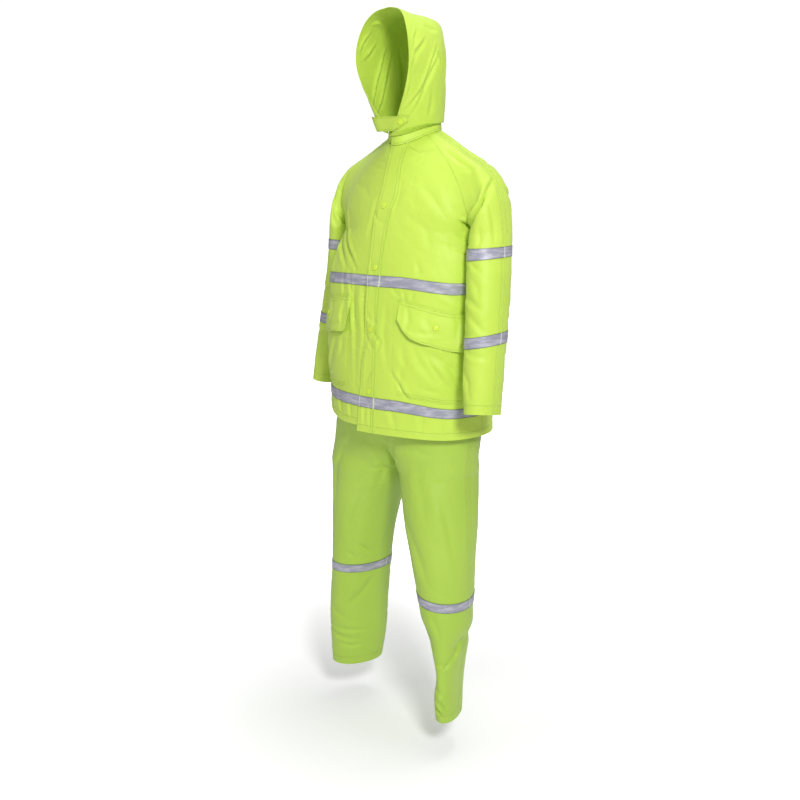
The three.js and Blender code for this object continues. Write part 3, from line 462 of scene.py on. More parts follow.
class Panel:
    """A grid of points with its outward normals and, for each point, its distances from the four edges.
    turn is 1 where the columns run to the right seen from outside."""

    def __init__(self, points, turn):
        self.turn = turn
        self.set(points)

    def set(self, points):
        """Takes the points and works out the rest: a normal is the cross product of the steps across and up."""
        self.p = points
        across, up = np.gradient(points, axis=1), np.gradient(points, axis=0)
        n = np.cross(across, up) * self.turn
        self.n = n / np.maximum(np.linalg.norm(n, axis=2), 1e-9)[..., None]
        self.first, self.low = walked(points, 1), walked(points, 0)
        self.last, self.high = self.first[:, -1:] - self.first, self.low[-1:] - self.low

    def lift(self, rise):
        """Every point moved out of the cloth by its own rise."""
        self.set(self.p + self.n * rise[..., None])
        return self

    def at(self, across, height):
        """The row and column of the point at a share of the way across and a height."""
        c = int(round(across * (self.p.shape[1] - 1)))
        return int(np.abs(self.p[:, c, 2] - height).argmin()), c

    def index(self, r, c):
        """Points and normals at fractional rows and columns."""
        r, c = np.broadcast_arrays(np.asarray(r, float), np.asarray(c, float))
        r0 = np.clip(np.floor(r).astype(int), 0, self.p.shape[0] - 2)
        c0 = np.clip(np.floor(c).astype(int), 0, self.p.shape[1] - 2)
        fr, fc = (r - r0)[..., None], (c - c0)[..., None]
        found = []
        for a in (self.p, self.n):
            low = a[r0, c0] * (1 - fc) + a[r0, c0 + 1] * fc
            high = a[r0 + 1, c0] * (1 - fc) + a[r0 + 1, c0 + 1] * fc
            found.append(low * (1 - fr) + high * fr)
        return found


WAVES = [(rng.normal(size=3) * (1, 1, 0.55), rng.uniform(0, 6.28)) for _ in range(14)]


def ripple(points):
    """Uneven soft waves of the cloth, from -1 to 1: sines in scattered directions, each bent by the one before."""
    total = np.zeros(points.shape[:-1])
    bend = 0.0
    for i, (way, phase) in enumerate(WAVES):
        scale = 0.035 * (1.16 ** (i % 7))
        wave = np.sin(points @ (way * scale) + phase + 1.3 * bend)
        bend = wave
        total += wave / (1.1 ** (i % 7))
    return total / 7


def crease(panel, line, width, height, lean=0.0):
    """A fold along a line given by shares across and heights: a ridge, or a trough where height is below 0. Its
    profile comes to a narrow bottom and falls off with the distance from the line, and its height swells and fades
    along it. lean adds a rounder counter-fold beside it, on the side that its sign names."""
    stops = np.array([panel.at(*stop) for stop in line], float)
    t = np.linspace(0, len(stops) - 1, 10 * (len(stops) - 1) + 1)
    r, c = (np.interp(t, np.arange(len(stops)), stops[:, i]) for i in (0, 1))
    along, normal = panel.index(r, c)
    beside = np.cross(np.gradient(along, axis=0), normal)
    beside /= np.maximum(np.linalg.norm(beside, axis=1), 1e-9)[:, None]
    flat = panel.p.reshape(-1, 3)
    reach = 5 * width
    close = np.all((flat > along.min(0) - reach) & (flat < along.max(0) + reach), axis=1)
    near = flat[close]
    if not len(near):
        return np.zeros(panel.p.shape[:2])
    gap = np.linalg.norm(near[:, None] - along[None], axis=2)
    best = gap.argmin(1)
    away = gap[np.arange(len(near)), best]
    side = np.einsum("ij,ij->i", near - along[best], beside[best])
    swell = np.sin(np.pi * np.clip(best / (len(along) - 1), 0.04, 0.96)) ** 0.6
    reach = width * (0.55 + 0.45 * swell)
    fold = np.exp(-((away / reach) ** 1.35))
    if lean:
        aside = away**2 - side**2 + (side - np.sign(lean) * 1.6 * reach) ** 2
        fold = fold - abs(lean) * np.exp(-aside / (1.3 * reach**2))
    rise = np.zeros(len(flat))
    rise[close] = height * swell * fold
    return rise.reshape(panel.p.shape[:2])


def shaped(panel, creases, wave=0.8, edge=9.0, taped=(), rows=None):
    """The panel with its creases and its soft waves, which fade towards its edges so that the seams still meet, and
    under the tapes, which hold the cloth flat. rows holds each row's height before its sides sink."""
    rise = ripple(panel.p) * wave + ripple(panel.p[..., ::-1] * 2.7) * wave * 0.5
    rise = rise + ripple(panel.p[..., [1, 2, 0]] * 6.1) * wave * 0.22
    for line, width, height, lean in creases:
        rise = rise + crease(panel, line, width * 0.8, height * 1.7, lean)
    near = np.minimum(np.minimum(panel.first, panel.last), np.minimum(panel.low, panel.high))
    rise = rise * smoothstep(near, 0, edge)
    for height in taped:
        rise = rise * (1 - 0.7 * bell(rows, height, 20))[:, None]
    return panel.lift(rise)


def folds(panel, lines):
    """The sum of a panel's creases."""
    return sum(crease(panel, *line) for line in lines)


# Creases of each panel: a line of (share across, height) stops, then its width, its height and its lean. shaped()
# draws them narrower and higher than folds() does.
CREASES = {
    "front_right": [
        ([(0.76, 1416), (0.62, 1385), (0.52, 1355), (0.36, 1310), (0.21, 1266)], 8, -5.5, -0.5),
        ([(0.9, 1395), (0.66, 1340), (0.46, 1300), (0.33, 1266)], 9, -5, 0.4),
        ([(0.21, 1262), (0.2, 1190), (0.17, 1110), (0.15, 971)], 7, -3.5, 0.6),
        ([(0.3, 1262), (0.24, 1210), (0.22, 1150)], 6, -3, 0.5),
        ([(0.35, 1262), (0.34, 1225), (0.33, 1195)], 6, -3, 0.4),
        ([(0.13, 1240), (0.12, 1190), (0.09, 1092), (0.1, 975)], 8, -3.5, 0.5),
        ([(0.12, 1440), (0.1, 1400), (0.14, 1340)], 10, -2.5, 0.3),
        ([(0.58, 1532), (0.35, 1530), (0.15, 1524)], 7, -1.6, 0.5),
        ([(0.5, 1515), (0.3, 1512), (0.12, 1512)], 7, -1.5, 0.5),
        ([(0.7, 1470), (0.45, 1462), (0.3, 1445)], 13, -1.6, 0.3),
        ([(0.85, 1330), (0.8, 1200), (0.74, 1060), (0.72, 960)], 14, -5, 0.4),
        ([(0.6, 1330), (0.55, 1250), (0.52, 1210)], 12, 3, 0),
        ([(0.4, 960), (0.36, 920), (0.33, 880)], 9, -2.6, 0.4),
        ([(0.22, 950), (0.2, 910), (0.19, 875)], 8, -2.2, 0.4),
        ([(0.6, 945), (0.62, 905), (0.6, 875)], 10, -2.5, 0.4),
    ],
    "front_left": [
        ([(0.99, 1368), (0.93, 1372), (0.84, 1382)], 7, -8, 0.5),
        ([(0.7, 1356), (0.8, 1347), (0.92, 1330)], 6, -2.6, 0.5),
        ([(0.62, 1330), (0.78, 1318), (0.93, 1300)], 9, -1.8, 0.4),
        ([(0.24, 1015), (0.28, 992), (0.33, 968), (0.38, 953)], 6, -4.2, -0.6),
        ([(0.45, 1078), (0.52, 1040), (0.59, 1003), (0.68, 972)], 13, -3.2, 0.5),
        ([(0.52, 1072), (0.6, 1050), (0.74, 1010)], 12, -2.4, 0.5),
        ([(0.06, 1110), (0.12, 1090), (0.1, 1066)], 6, -2.2, 0.5),
        ([(0.2, 1226), (0.23, 1216), (0.28, 1200)], 6, -2.2, 0.5),
        ([(0.3, 1224), (0.31, 1208), (0.32, 1190)], 5, -2, 0.5),
        ([(0.36, 1224), (0.37, 1208), (0.36, 1192)], 6, -1.6, 0.5),
        ([(0.55, 1222), (0.66, 1205), (0.8, 1186)], 9, -2.2, 0.4),
        ([(0.2, 1566), (0.4, 1555), (0.61, 1549)], 5, -3.2, 0.5),
        ([(0.55, 1560), (0.7, 1552), (0.9, 1556)], 5, -2.6, 0.5),
        ([(0.25, 1530), (0.5, 1525), (0.72, 1532)], 8, -1.2, 0.4),
        ([(0.14, 1480), (0.13, 1440), (0.15, 1400)], 9, -1.4, 0.4),
        ([(0.5, 1470), (0.62, 1440), (0.7, 1400)], 16, -1.8, 0.4),
        ([(0.3, 1400), (0.45, 1370), (0.5, 1320)], 16, -1.6, 0.4),
        ([(0.4, 1290), (0.42, 1265), (0.4, 1254)], 8, -1.8, 0.4),
        ([(0.2, 946), (0.24, 915), (0.26, 880)], 9, -2.6, 0.4),
        ([(0.45, 940), (0.47, 905), (0.46, 872)], 10, -2.6, 0.4),
        ([(0.62, 935), (0.63, 900), (0.66, 868)], 9, -2.4, -0.4),
        ([(0.33, 1040), (0.3, 1020), (0.31, 985)], 8, -2.0, 0.4),
        ([(0.17, 1180), (0.16, 1110), (0.19, 1030)], 10, -2.0, 0.4),
        ([(0.86, 1180), (0.84, 1100), (0.82, 1000)], 12, -3, 0.4),
    ],
    "back": [
        ([(0.2, 1440), (0.25, 1330), (0.27, 1200), (0.3, 900)], 17, 5, 0.4),
        ([(0.12, 1400), (0.16, 1330), (0.2, 1262)], 11, -4, 0.4),
        ([(0.4, 1300), (0.43, 1100), (0.44, 880)], 18, -5, 0.4),
        ([(0.33, 1220), (0.35, 1100), (0.36, 1000)], 12, -3, 0.4),
        ([(0.62, 1280), (0.6, 1100), (0.58, 900)], 17, -5, -0.4),
        ([(0.7, 1220), (0.69, 1120), (0.7, 980)], 12, -3, 0.4),
        ([(0.8, 1440), (0.76, 1330), (0.75, 1200), (0.74, 890)], 17, 5, 0.4),
        ([(0.89, 1400), (0.85, 1320), (0.82, 1262)], 11, -4, 0.4),
        ([(0.25, 1500), (0.5, 1484), (0.75, 1490)], 16, -3.5, 0.5),
        ([(0.3, 1548), (0.5, 1536), (0.7, 1550)], 11, -2, 0.5),
        ([(0.2, 1455), (0.34, 1446), (0.45, 1450)], 11, -2.4, 0.4),
        ([(0.5, 940), (0.51, 905), (0.5, 872)], 11, -3, 0.4),
        ([(0.2, 930), (0.19, 900), (0.21, 880)], 11, -2.6, 0.4),
        ([(0.83, 930), (0.84, 900), (0.82, 880)], 11, -2.6, 0.4),
    ],
    "sleeve_front_left": [
        ([(0.03, 1348), (0.12, 1364), (0.22, 1384), (0.38, 1410), (0.6, 1440)], 6.5, -15, -0.5),
        ([(0.5, 1424), (0.71, 1453), (0.96, 1485)], 8, -5, -0.5),
        ([(0.02, 1330), (0.15, 1320), (0.34, 1333)], 8, -3, 0.4),
        ([(0.3, 1392), (0.42, 1400), (0.62, 1425)], 9, 2.2, 0),
        ([(0.75, 1420), (0.82, 1385), (0.84, 1340)], 10, -2.6, 0.4),
        ([(0.55, 1385), (0.62, 1350), (0.6, 1328)], 9, -2, 0.4),
        ([(0.42, 1296), (0.52, 1284), (0.66, 1270)], 8, -2.6, 0.4),
        ([(0.3, 1210), (0.46, 1203), (0.67, 1185)], 10, -3, 0.5),
        ([(0.5, 1250), (0.6, 1235), (0.62, 1210)], 11, -1.8, 0.4),
        ([(0.45, 1165), (0.6, 1150), (0.79, 1126)], 9, -3, 0.5),
        ([(0.3, 1090), (0.5, 1080), (0.79, 1069)], 9, -2.6, 0.5),
        ([(0.2, 1130), (0.35, 1120), (0.5, 1124)], 8, -2.2, 0.5),
        ([(0.3, 1040), (0.45, 1015), (0.5, 975)], 12, -2.6, 0.4),
        ([(0.15, 1060), (0.22, 1010), (0.2, 960)], 10, -2.6, -0.4),
        ([(0.12, 1280), (0.2, 1230), (0.18, 1180)], 11, -2.6, 0.4),
        ([(0.25, 1505), (0.5, 1508), (0.8, 1515)], 8, -1.8, 0.4),
        ([(0.08, 1550), (0.3, 1536), (0.46, 1512)], 8, -1.6, 0.4),
    ],
    "sleeve_front_right": [
        ([(0.42, 1493), (0.3, 1460), (0.14, 1425), (0.04, 1390)], 8, -6, 0.5),
        ([(0.54, 1483), (0.36, 1440), (0.2, 1400), (0.08, 1350)], 9, -5, 0.4),
        ([(0.6, 1440), (0.4, 1390), (0.3, 1340)], 10, -3, 0.4),
        ([(0.25, 1215), (0.5, 1200), (0.75, 1190)], 10, -3, 0.4),
        ([(0.2, 1160), (0.45, 1152), (0.7, 1135)], 10, -3.4, 0.4),
        ([(0.3, 1085), (0.55, 1070), (0.8, 1075)], 10, -2.6, 0.4),
        ([(0.6, 1280), (0.7, 1240), (0.66, 1200)], 12, -2.4, 0.4),
        ([(0.4, 1040), (0.5, 1000), (0.48, 960)], 11, -2.6, 0.4),
    ],
    "sleeve_back_left": [
        ([(0.08, 1365), (0.3, 1400), (0.5, 1430), (0.78, 1460)], 11, -6, 0.5),
        ([(0.1, 1320), (0.35, 1340), (0.6, 1350)], 11, -3, 0.4),
        ([(0.7, 1420), (0.75, 1385), (0.8, 1340)], 11, -2.4, 0.4),
        ([(0.25, 1215), (0.5, 1190), (0.75, 1180)], 12, -4, 0.5),
        ([(0.2, 1170), (0.5, 1150), (0.8, 1152)], 10, -3.4, 0.5),
        ([(0.3, 1080), (0.55, 1066), (0.8, 1070)], 11, -3, 0.4),
        ([(0.5, 1030), (0.6, 1000), (0.55, 960)], 12, -2.4, 0.4),
        ([(0.3, 1525), (0.55, 1520), (0.8, 1530)], 10, -2, 0.4),
    ],
    "sleeve_back_right": [
        ([(0.08, 1365), (0.3, 1400), (0.5, 1425), (0.78, 1450)], 11, -6, -0.5),
        ([(0.1, 1320), (0.35, 1336), (0.6, 1345)], 11, -3, 0.4),
        ([(0.7, 1415), (0.78, 1380), (0.8, 1335)], 11, -2.4, 0.4),
        ([(0.25, 1210), (0.5, 1188), (0.75, 1185)], 12, -4, 0.5),
        ([(0.2, 1165), (0.5, 1142), (0.8, 1150)], 10, -3.4, 0.5),
        ([(0.3, 1070), (0.55, 1062), (0.8, 1075)], 11, -3, 0.4),
        ([(0.45, 1030), (0.55, 1000), (0.5, 955)], 12, -2.4, 0.4),
        ([(0.3, 1520), (0.55, 1515), (0.8, 1524)], 10, -2, 0.4),
    ],
    "trouser_front_left": [
        ([(0.77, 267), (0.84, 290), (1.0, 322)], 8, -4.5, 0.5),
        ([(0.62, 250), (0.74, 268), (0.8, 290)], 7, -3, 0.5),
        ([(0.36, 268), (0.55, 264), (0.76, 262)], 7, -2.2, 0.4),
        ([(0.4, 165), (0.56, 152), (0.73, 132)], 8, -4.5, 0.5),
        ([(0.3, 150), (0.42, 134), (0.56, 122)], 8, -3.5, 0.5),
        ([(0.3, 200), (0.5, 190), (0.75, 176)], 10, -2.4, 0.4),
        ([(0.48, 400), (0.55, 365), (0.6, 330)], 11, -2.4, 0.4),
        ([(0.25, 350), (0.3, 320), (0.34, 280)], 10, -2.4, 0.4),
        ([(0.3, 640), (0.42, 560), (0.5, 480)], 18, -3, 0.4),
        ([(0.75, 700), (0.8, 620), (0.82, 540)], 16, -2.6, 0.4),
        ([(0.25, 810), (0.45, 815), (0.62, 800)], 12, -2, 0.4),
        ([(0.15, 830), (0.12, 780), (0.14, 740)], 12, -3.5, 0.4),
        ([(0.55, 780), (0.6, 700), (0.6, 640)], 18, -2, 0.4),
        ([(0.6, 460), (0.75, 448), (0.85, 440)], 9, -2, 0.4),
    ],
    "trouser_front_right": [
        ([(0.34, 500), (0.27, 485), (0.2, 471)], 8, -3.4, 0.5),
        ([(0.45, 475), (0.38, 462), (0.33, 440)], 8, -2.6, 0.4),
        ([(0.14, 400), (0.24, 350), (0.41, 308)], 13, -3, 0.4),
        ([(0.61, 239), (0.42, 230), (0.2, 226)], 8, -3, 0.5),
        ([(0.65, 222), (0.45, 208), (0.24, 200)], 8, -2.6, 0.5),
        ([(0.5, 190), (0.35, 180), (0.22, 184)], 8, -2.2, 0.4),
        ([(0.6, 300), (0.5, 280), (0.42, 270)], 10, -2.2, 0.4),
        ([(0.35, 660), (0.42, 570), (0.4, 500)], 20, -3, 0.4),
        ([(0.6, 770), (0.64, 700), (0.62, 620)], 16, -2.8, 0.4),
        ([(0.15, 800), (0.22, 740), (0.24, 680)], 14, -3, 0.4),
        ([(0.05, 560), (0.07, 500), (0.06, 450)], 9, -2, 0.4),
        ([(0.4, 820), (0.5, 790), (0.66, 780)], 12, -2, 0.4),
    ],
    "trouser_back_left": [
        ([(0.25, 385), (0.5, 370), (0.75, 350)], 14, -5, 0.5),
        ([(0.3, 450), (0.5, 458), (0.7, 448)], 13, -4, 0.5),
        ([(0.4, 700), (0.5, 620), (0.55, 520)], 20, -4, 0.4),
        ([(0.25, 690), (0.45, 705), (0.7, 690)], 13, -3.5, 0.5),
        ([(0.3, 160), (0.5, 150), (0.7, 162)], 10, -3.5, 0.4),
        ([(0.3, 270), (0.55, 258), (0.75, 266)], 12, -3, 0.4),
    ],
    "trouser_back_right": [
        ([(0.25, 390), (0.5, 380), (0.75, 360)], 14, -5, 0.5),
        ([(0.3, 455), (0.5, 462), (0.7, 450)], 13, -4, 0.5),
        ([(0.4, 700), (0.5, 620), (0.55, 520)], 20, -4, 0.4),
        ([(0.25, 695), (0.45, 708), (0.7, 688)], 13, -3.5, 0.5),
        ([(0.3, 180), (0.5, 170), (0.7, 178)], 10, -3.5, 0.4),
        ([(0.3, 280), (0.55, 268), (0.75, 276)], 12, -3, 0.4),
    ],
    "hood_left": [
        ([(0.44, 1797), (0.36, 1765), (0.29, 1736), (0.2, 1692), (0.09, 1654)], 6.5, -4.6, 0.6),
        ([(0.46, 1783), (0.36, 1742), (0.26, 1709), (0.16, 1640)], 6, -4.2, 0.6),
        ([(0.27, 1809), (0.19, 1793), (0.11, 1776), (0.06, 1745)], 6, -3.6, 0.6),
        ([(0.16, 1830), (0.11, 1808), (0.08, 1787)], 5, -2.4, 0.5),
        ([(0.06, 1719), (0.05, 1685), (0.04, 1657)], 4, -2, 0.4),
        ([(0.46, 1780), (0.53, 1755), (0.58, 1735)], 8, -3.4, 0.5),
        ([(0.56, 1800), (0.62, 1750), (0.6, 1700)], 9, -3, 0.4),
        ([(0.36, 1690), (0.38, 1660), (0.36, 1634)], 9, -2.2, 0.4),
        ([(0.3, 1845), (0.4, 1836), (0.52, 1838)], 8, -2.4, 0.4),
        ([(0.75, 1790), (0.7, 1720), (0.74, 1660)], 11, -3.4, 0.4),
        ([(0.88, 1760), (0.85, 1710), (0.87, 1650)], 10, -2.6, 0.4),
    ],
    "hood_right": [
        ([(0.42, 1800), (0.34, 1750), (0.24, 1700), (0.14, 1652)], 6.5, -4.2, 0.6),
        ([(0.5, 1786), (0.42, 1730), (0.34, 1680), (0.22, 1636)], 6.5, -3.8, 0.6),
        ([(0.26, 1812), (0.18, 1790), (0.1, 1772)], 6, -3.2, 0.6),
        ([(0.14, 1836), (0.08, 1812), (0.06, 1790)], 5, -2.6, 0.5),
        ([(0.1, 1856), (0.2, 1858), (0.32, 1850)], 5, -2.6, 0.5),
        ([(0.06, 1700), (0.05, 1672), (0.08, 1650)], 4.5, -2.2, 0.4),
        ([(0.58, 1800), (0.62, 1745), (0.6, 1690)], 9, -3, 0.4),
        ([(0.76, 1785), (0.7, 1720), (0.73, 1650)], 11, -3.4, 0.4),
        ([(0.88, 1750), (0.86, 1700), (0.9, 1650)], 10, -2.6, 0.4),
    ],
    "storm_flap": [
        ([(0.25, 1158), (0.6, 1140), (0.92, 1132)], 4.5, -2.6, 0.5),
        ([(0.2, 1100), (0.5, 1090), (0.9, 1066)], 4.5, -2.8, 0.5),
        ([(0.75, 1170), (0.8, 1140), (0.84, 1100)], 4.5, -2.2, 0.5),
        ([(0.15, 1128), (0.3, 1100), (0.34, 1070)], 4, -2.2, -0.5),
        ([(0.1, 1400), (0.5, 1385), (0.85, 1380)], 5, -1.6, 0.5),
        ([(0.2, 1290), (0.55, 1250), (0.6, 1220)], 5, -1.8, 0.5),
        ([(0.3, 985), (0.6, 1000), (0.9, 1030)], 5, -1.8, 0.5),
        ([(0.3, 930), (0.4, 905), (0.35, 880)], 5, -2.2, 0.5),
        ([(0.7, 935), (0.75, 900), (0.8, 870)], 5, -1.8, 0.5),
    ],
    "pocket": [
        ([(0.25, 1085), (0.4, 1035), (0.55, 985)], 11, -5, 0.5),
        ([(0.38, 1080), (0.55, 1050), (0.75, 1010)], 11, -4, 0.5),
        ([(0.6, 1080), (0.72, 1030), (0.8, 975)], 11, -3.5, 0.4),
        ([(0.3, 985), (0.45, 978), (0.6, 974)], 7, -2.5, 0.5),
        ([(0.12, 1090), (0.12, 1060), (0.18, 1035)], 7, -2.5, 0.5),
    ],
    "pocket_flap": [
        ([(0.12, 1180), (0.13, 1150), (0.1, 1120)], 6, -3.4, 0.5),
        ([(0.4, 1185), (0.36, 1150), (0.42, 1115)], 10, -2.4, 0.5),
        ([(0.7, 1180), (0.74, 1140), (0.72, 1110)], 9, -2.4, 0.5),
        ([(0.1, 1132), (0.3, 1120), (0.5, 1116)], 6, -1.8, 0.5),
    ],
}

# Materials


def group(name, inputs, outputs, fill):
    """A node group with float sockets, which fill makes from its inputs and outputs."""
    tree = bpy.data.node_groups.new(name, "ShaderNodeTree")
    for way, names in (("INPUT", inputs), ("OUTPUT", outputs)):
        for n in names:
            tree.interface.new_socket(n, in_out=way, socket_type="NodeSocketFloat")
    start, end = tree.nodes.new("NodeGroupInput"), tree.nodes.new("NodeGroupOutput")
    fill(tree, start.outputs, end.inputs)
    return tree


def node(tree, kind, values=None, **settings):
    """A new node, with settings on it and values or links on its input sockets."""
    made = tree.nodes.new("ShaderNode" + kind)
    for key, value in settings.items():
        setattr(made, key, value)
    for key, value in (values or {}).items():
        if isinstance(value, bpy.types.NodeSocket):
            tree.links.new(value, made.inputs[key])
        else:
            made.inputs[key].default_value = value
    return made


def maths(tree, kind, a, b=0.0, clamp=False):
    """One sum of two values or sockets."""
    return node(tree, "Math", {0: a, 1: b}, operation=kind, use_clamp=clamp).outputs[0]


def noise(tree, spot, scale, detail, roughness=0.5):
    """A noise of the given size. Its outputs are Fac and Color."""
    values = {"Vector": spot, "Scale": scale, "Detail": detail, "Roughness": roughness}
    return node(tree, "TexNoise", values).outputs


def mixed(tree, share, first, second):
    """The first colour where the share is 0 and the second where it is 1."""
    first, second = ((*c, 1) if isinstance(c, tuple) else c for c in (first, second))
    return node(tree, "MixRGB", {"Fac": share, "Color1": first, "Color2": second}).outputs[0]


def spread_out(tree, value, low, high, start=0.0, end=1.0, **settings):
    """The value's range from low to high drawn over the one from start to end."""
    return node(tree, "MapRange", {0: value, 1: low, 2: high, 3: start, 4: end}, **settings).outputs[0]


def near_edge(tree, distance, reach):
    """1 on an edge, falling to 0 at the reach from it."""
    return maths(tree, "SUBTRACT", 1.0, maths(tree, "DIVIDE", distance, reach), clamp=True)


def edge_maps(tree):
    """The piece's two UV maps, which hold the distances from its edges in millimetres."""
    maps = {n: node(tree, "UVMap", uv_map=n).outputs[0] for n in ("near", "far")}
    return {n: node(tree, "SeparateXYZ", {0: uv}).outputs for n, uv in maps.items()}


def fill_crumple(tree, inputs, outputs):
    """Relief of coated cloth: crumples of two sizes and a fine weave. Outputs its height and a slow mottling."""
    spot = node(tree, "TexCoord").outputs["Object"]
    bent = mixed(tree, 0.06, spot, noise(tree, spot, 9.0, 2.0)["Color"])
    large = noise(tree, bent, 26.0, 3.0)["Fac"]
    ridge = maths(tree, "ABSOLUTE", maths(tree, "SUBTRACT", large, 0.5))
    small = noise(tree, spot, 90.0, 2.0)["Fac"]
    weave = noise(tree, spot, 900.0, 1.0)["Fac"]
    total = maths(tree, "MULTIPLY", ridge, inputs["Crumple"])
    total = maths(tree, "ADD", total, maths(tree, "MULTIPLY", small, 0.12))
    total = maths(tree, "ADD", total, maths(tree, "MULTIPLY", weave, inputs["Weave"]))
    tree.links.new(total, outputs["Height"])
    tree.links.new(noise(tree, spot, 5.0, 3.0)["Fac"], outputs["Mottle"])


def fill_line(tree, inputs, outputs):
    """The groove of a row of stitches at one distance from an edge, the mask of its dip and of its painted shade: 1
    along its middle and 0 off it.
    """
    away = maths(tree, "ABSOLUTE", maths(tree, "SUBTRACT", inputs["Distance"], inputs["Line"]))
    tree.links.new(near_edge(tree, away, inputs["Width"]), outputs["Groove"])


crumple_group = group("crumpled_cloth", ["Crumple", "Weave"], ["Height", "Mottle"], fill_crumple)
line_group = group("stitch_line", ["Distance", "Line", "Width"], ["Groove"], fill_line)
# Where each edge's distance lies: its UV map and axis.
EDGES = {"first": ("near", 0), "low": ("near", 1), "last": ("far", 0), "high": ("far", 1)}


def material_of(name, finish, relief=None):
    """A material whose tree is made by finish: it gives the base colour and, with a relief in (strength, distance),
    its height."""
    material = bpy.data.materials.new(name)
    material.use_nodes = True
    tree = material.node_tree
    shader = tree.nodes["Principled BSDF"]
    colour, height, values = finish(tree)
    tree.links.new(colour, shader.inputs["Base Color"])
    if relief:
        bump = node(tree, "Bump", {"Strength": relief[0], "Distance": relief[1], "Height": height})
        tree.links.new(bump.outputs[0], shader.inputs["Normal"])
    for key, value in values.items():
        shader.inputs[key].default_value = value
    return material


def cloth(name, colours, seams=()):
    """Coated cloth. seams lists (edge, distance in millimetres) for each stitched line; the cloth dips along it and is
    painted darker there, as painted shade in the groove.
    """

    def finish(tree):
        worn = node(tree, "Group", node_tree=crumple_group)
        worn.inputs["Crumple"].default_value = 0.8
        worn.inputs["Weave"].default_value = 0.05
        height = worn.outputs["Height"]
        maps = edge_maps(tree)
        groove = None
        for edge, distance in seams:
            uv, axis = EDGES[edge]
            line = node(tree, "Group", node_tree=line_group)
            tree.links.new(maps[uv][axis], line.inputs["Distance"])
            line.inputs["Line"].default_value = distance
            line.inputs["Width"].default_value = 1.7
            groove = line.outputs[0] if groove is None else maths(tree, "MAXIMUM", groove, line.outputs[0])
        tint = spread_out(tree, worn.outputs["Mottle"], 0.3, 0.7, 0.0, 0.35)
        # Painted shade: the colour darkens towards the deep tint along each stitched groove.
        if groove is not None:
            tint = maths(tree, "ADD", tint, maths(tree, "MULTIPLY", groove, 0.5), clamp=True)
            height = maths(tree, "SUBTRACT", height, maths(tree, "MULTIPLY", groove, 0.45))
        shine = {"Roughness": 0.52, "Sheen Weight": 0.1, "Sheen Roughness": 0.5, "Specular IOR Level": 0.35}
        return mixed(tree, tint, *colours), height, shine

    return material_of(name, finish, relief=(0.7, 0.0021))


def tape_cloth(tree):
    """Reflective tape: grey glass beading with fine cross wrinkles, painted lighter along streaks as painted
    highlights where the wrinkles catch the light, dark along its edges and light at its ends, where it is sewn down."""
    spot = node(tree, "TexCoord").outputs["Object"]
    long = node(tree, "Mapping", {0: spot, 3: (1.0, 1.0, 5.0)}).outputs[0]
    wrinkle_and_highlight = noise(tree, long, 24.0, 4.0, 0.6)["Fac"]
    bead = noise(tree, spot, 700.0, 1.0)["Fac"]
    # Painted highlight: the colour is lighter along the wrinkle streaks, as if they caught the light.
    colour = mixed(tree, spread_out(tree, wrinkle_and_highlight, 0.42, 0.7), (0.29, 0.29, 0.36), (0.5, 0.5, 0.56))
    maps = edge_maps(tree)
    side, end = (maths(tree, "MINIMUM", maps["near"][axis], maps["far"][axis]) for axis in (1, 0))
    dark = maths(tree, "MULTIPLY", near_edge(tree, side, 2.6), 0.95)
    colour = mixed(tree, dark, colour, (0.09, 0.11, 0.1))
    colour = mixed(tree, near_edge(tree, end, 2.4), colour, (0.72, 0.76, 0.7))
    height = maths(tree, "ADD", wrinkle_and_highlight, maths(tree, "MULTIPLY", bead, 0.12))
    return colour, height, {"Roughness": 0.48, "Metallic": 0.1}


def plain(name, colour, roughness):
    """Smooth plastic or thread with a slight unevenness of colour."""

    def finish(tree):
        spot = node(tree, "TexCoord").outputs["Object"]
        deep = tuple(c * 0.85 for c in colour)
        return mixed(tree, noise(tree, spot, 120.0, 2.0)["Fac"], colour, deep), None, {"Roughness": roughness}

    return material_of(name, finish)


# The cloth's colour and the deeper one of its mottling, which also gives the painted shade in the stitched grooves.
LIME = (0.53, 0.715, 0.085), (0.40, 0.58, 0.045)
LEAF = (0.39, 0.575, 0.072), (0.30, 0.47, 0.04)
tape_finish = material_of("reflective_tape", tape_cloth, relief=(0.6, 0.002))
snap_finish = plain("snap_plastic", (0.59, 0.78, 0.055), 0.3)
thread_finish = plain("thread", (0.62, 0.80, 0.16), 0.6)
trouser_thread_finish = plain("trouser_thread", (0.5, 0.70, 0.13), 0.6)

# Meshes


def build(name, vertices, faces, material, maps=None):
    """A smooth-shaded mesh object in the frame, from points in millimetres and an array of four-sided faces."""
    mesh = bpy.data.meshes.new(name)
    co = (vertices - [0, 0, NECK_HEIGHT]) / 1000
    mesh.from_pydata(co.tolist(), [], faces.tolist())
    mesh.polygons.foreach_set("use_smooth", np.ones(len(mesh.polygons), bool))
    loops = np.zeros(len(mesh.loops), np.int32)
    mesh.loops.foreach_get("vertex_index", loops)
    for key, value in (maps or {}).items():
        mesh.uv_layers.new(name=key).data.foreach_set("uv", value[loops].astype(np.float32).ravel())
    mesh.materials.append(material)
    mesh.validate()
    mesh.set_sharp_from_angle(angle=math.radians(50))
    made = bpy.data.objects.new(name, mesh)
    bpy.context.scene.collection.objects.link(made)
    return made


def place(piece, slot):
    """The suit is one body."""
    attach(piece, "root")


def grid_faces(rows, columns, turn):
    """The four-sided faces of a grid of points, whose point in row r and column c is number r times columns plus c."""
    r, c = np.meshgrid(np.arange(rows - 1), np.arange(columns - 1), indexing="ij")
    a = (r * columns + c).ravel()
    quad = np.stack([a, a + 1, a + columns + 1, a + columns], -1)
    return quad if turn > 0 else quad[:, ::-1]


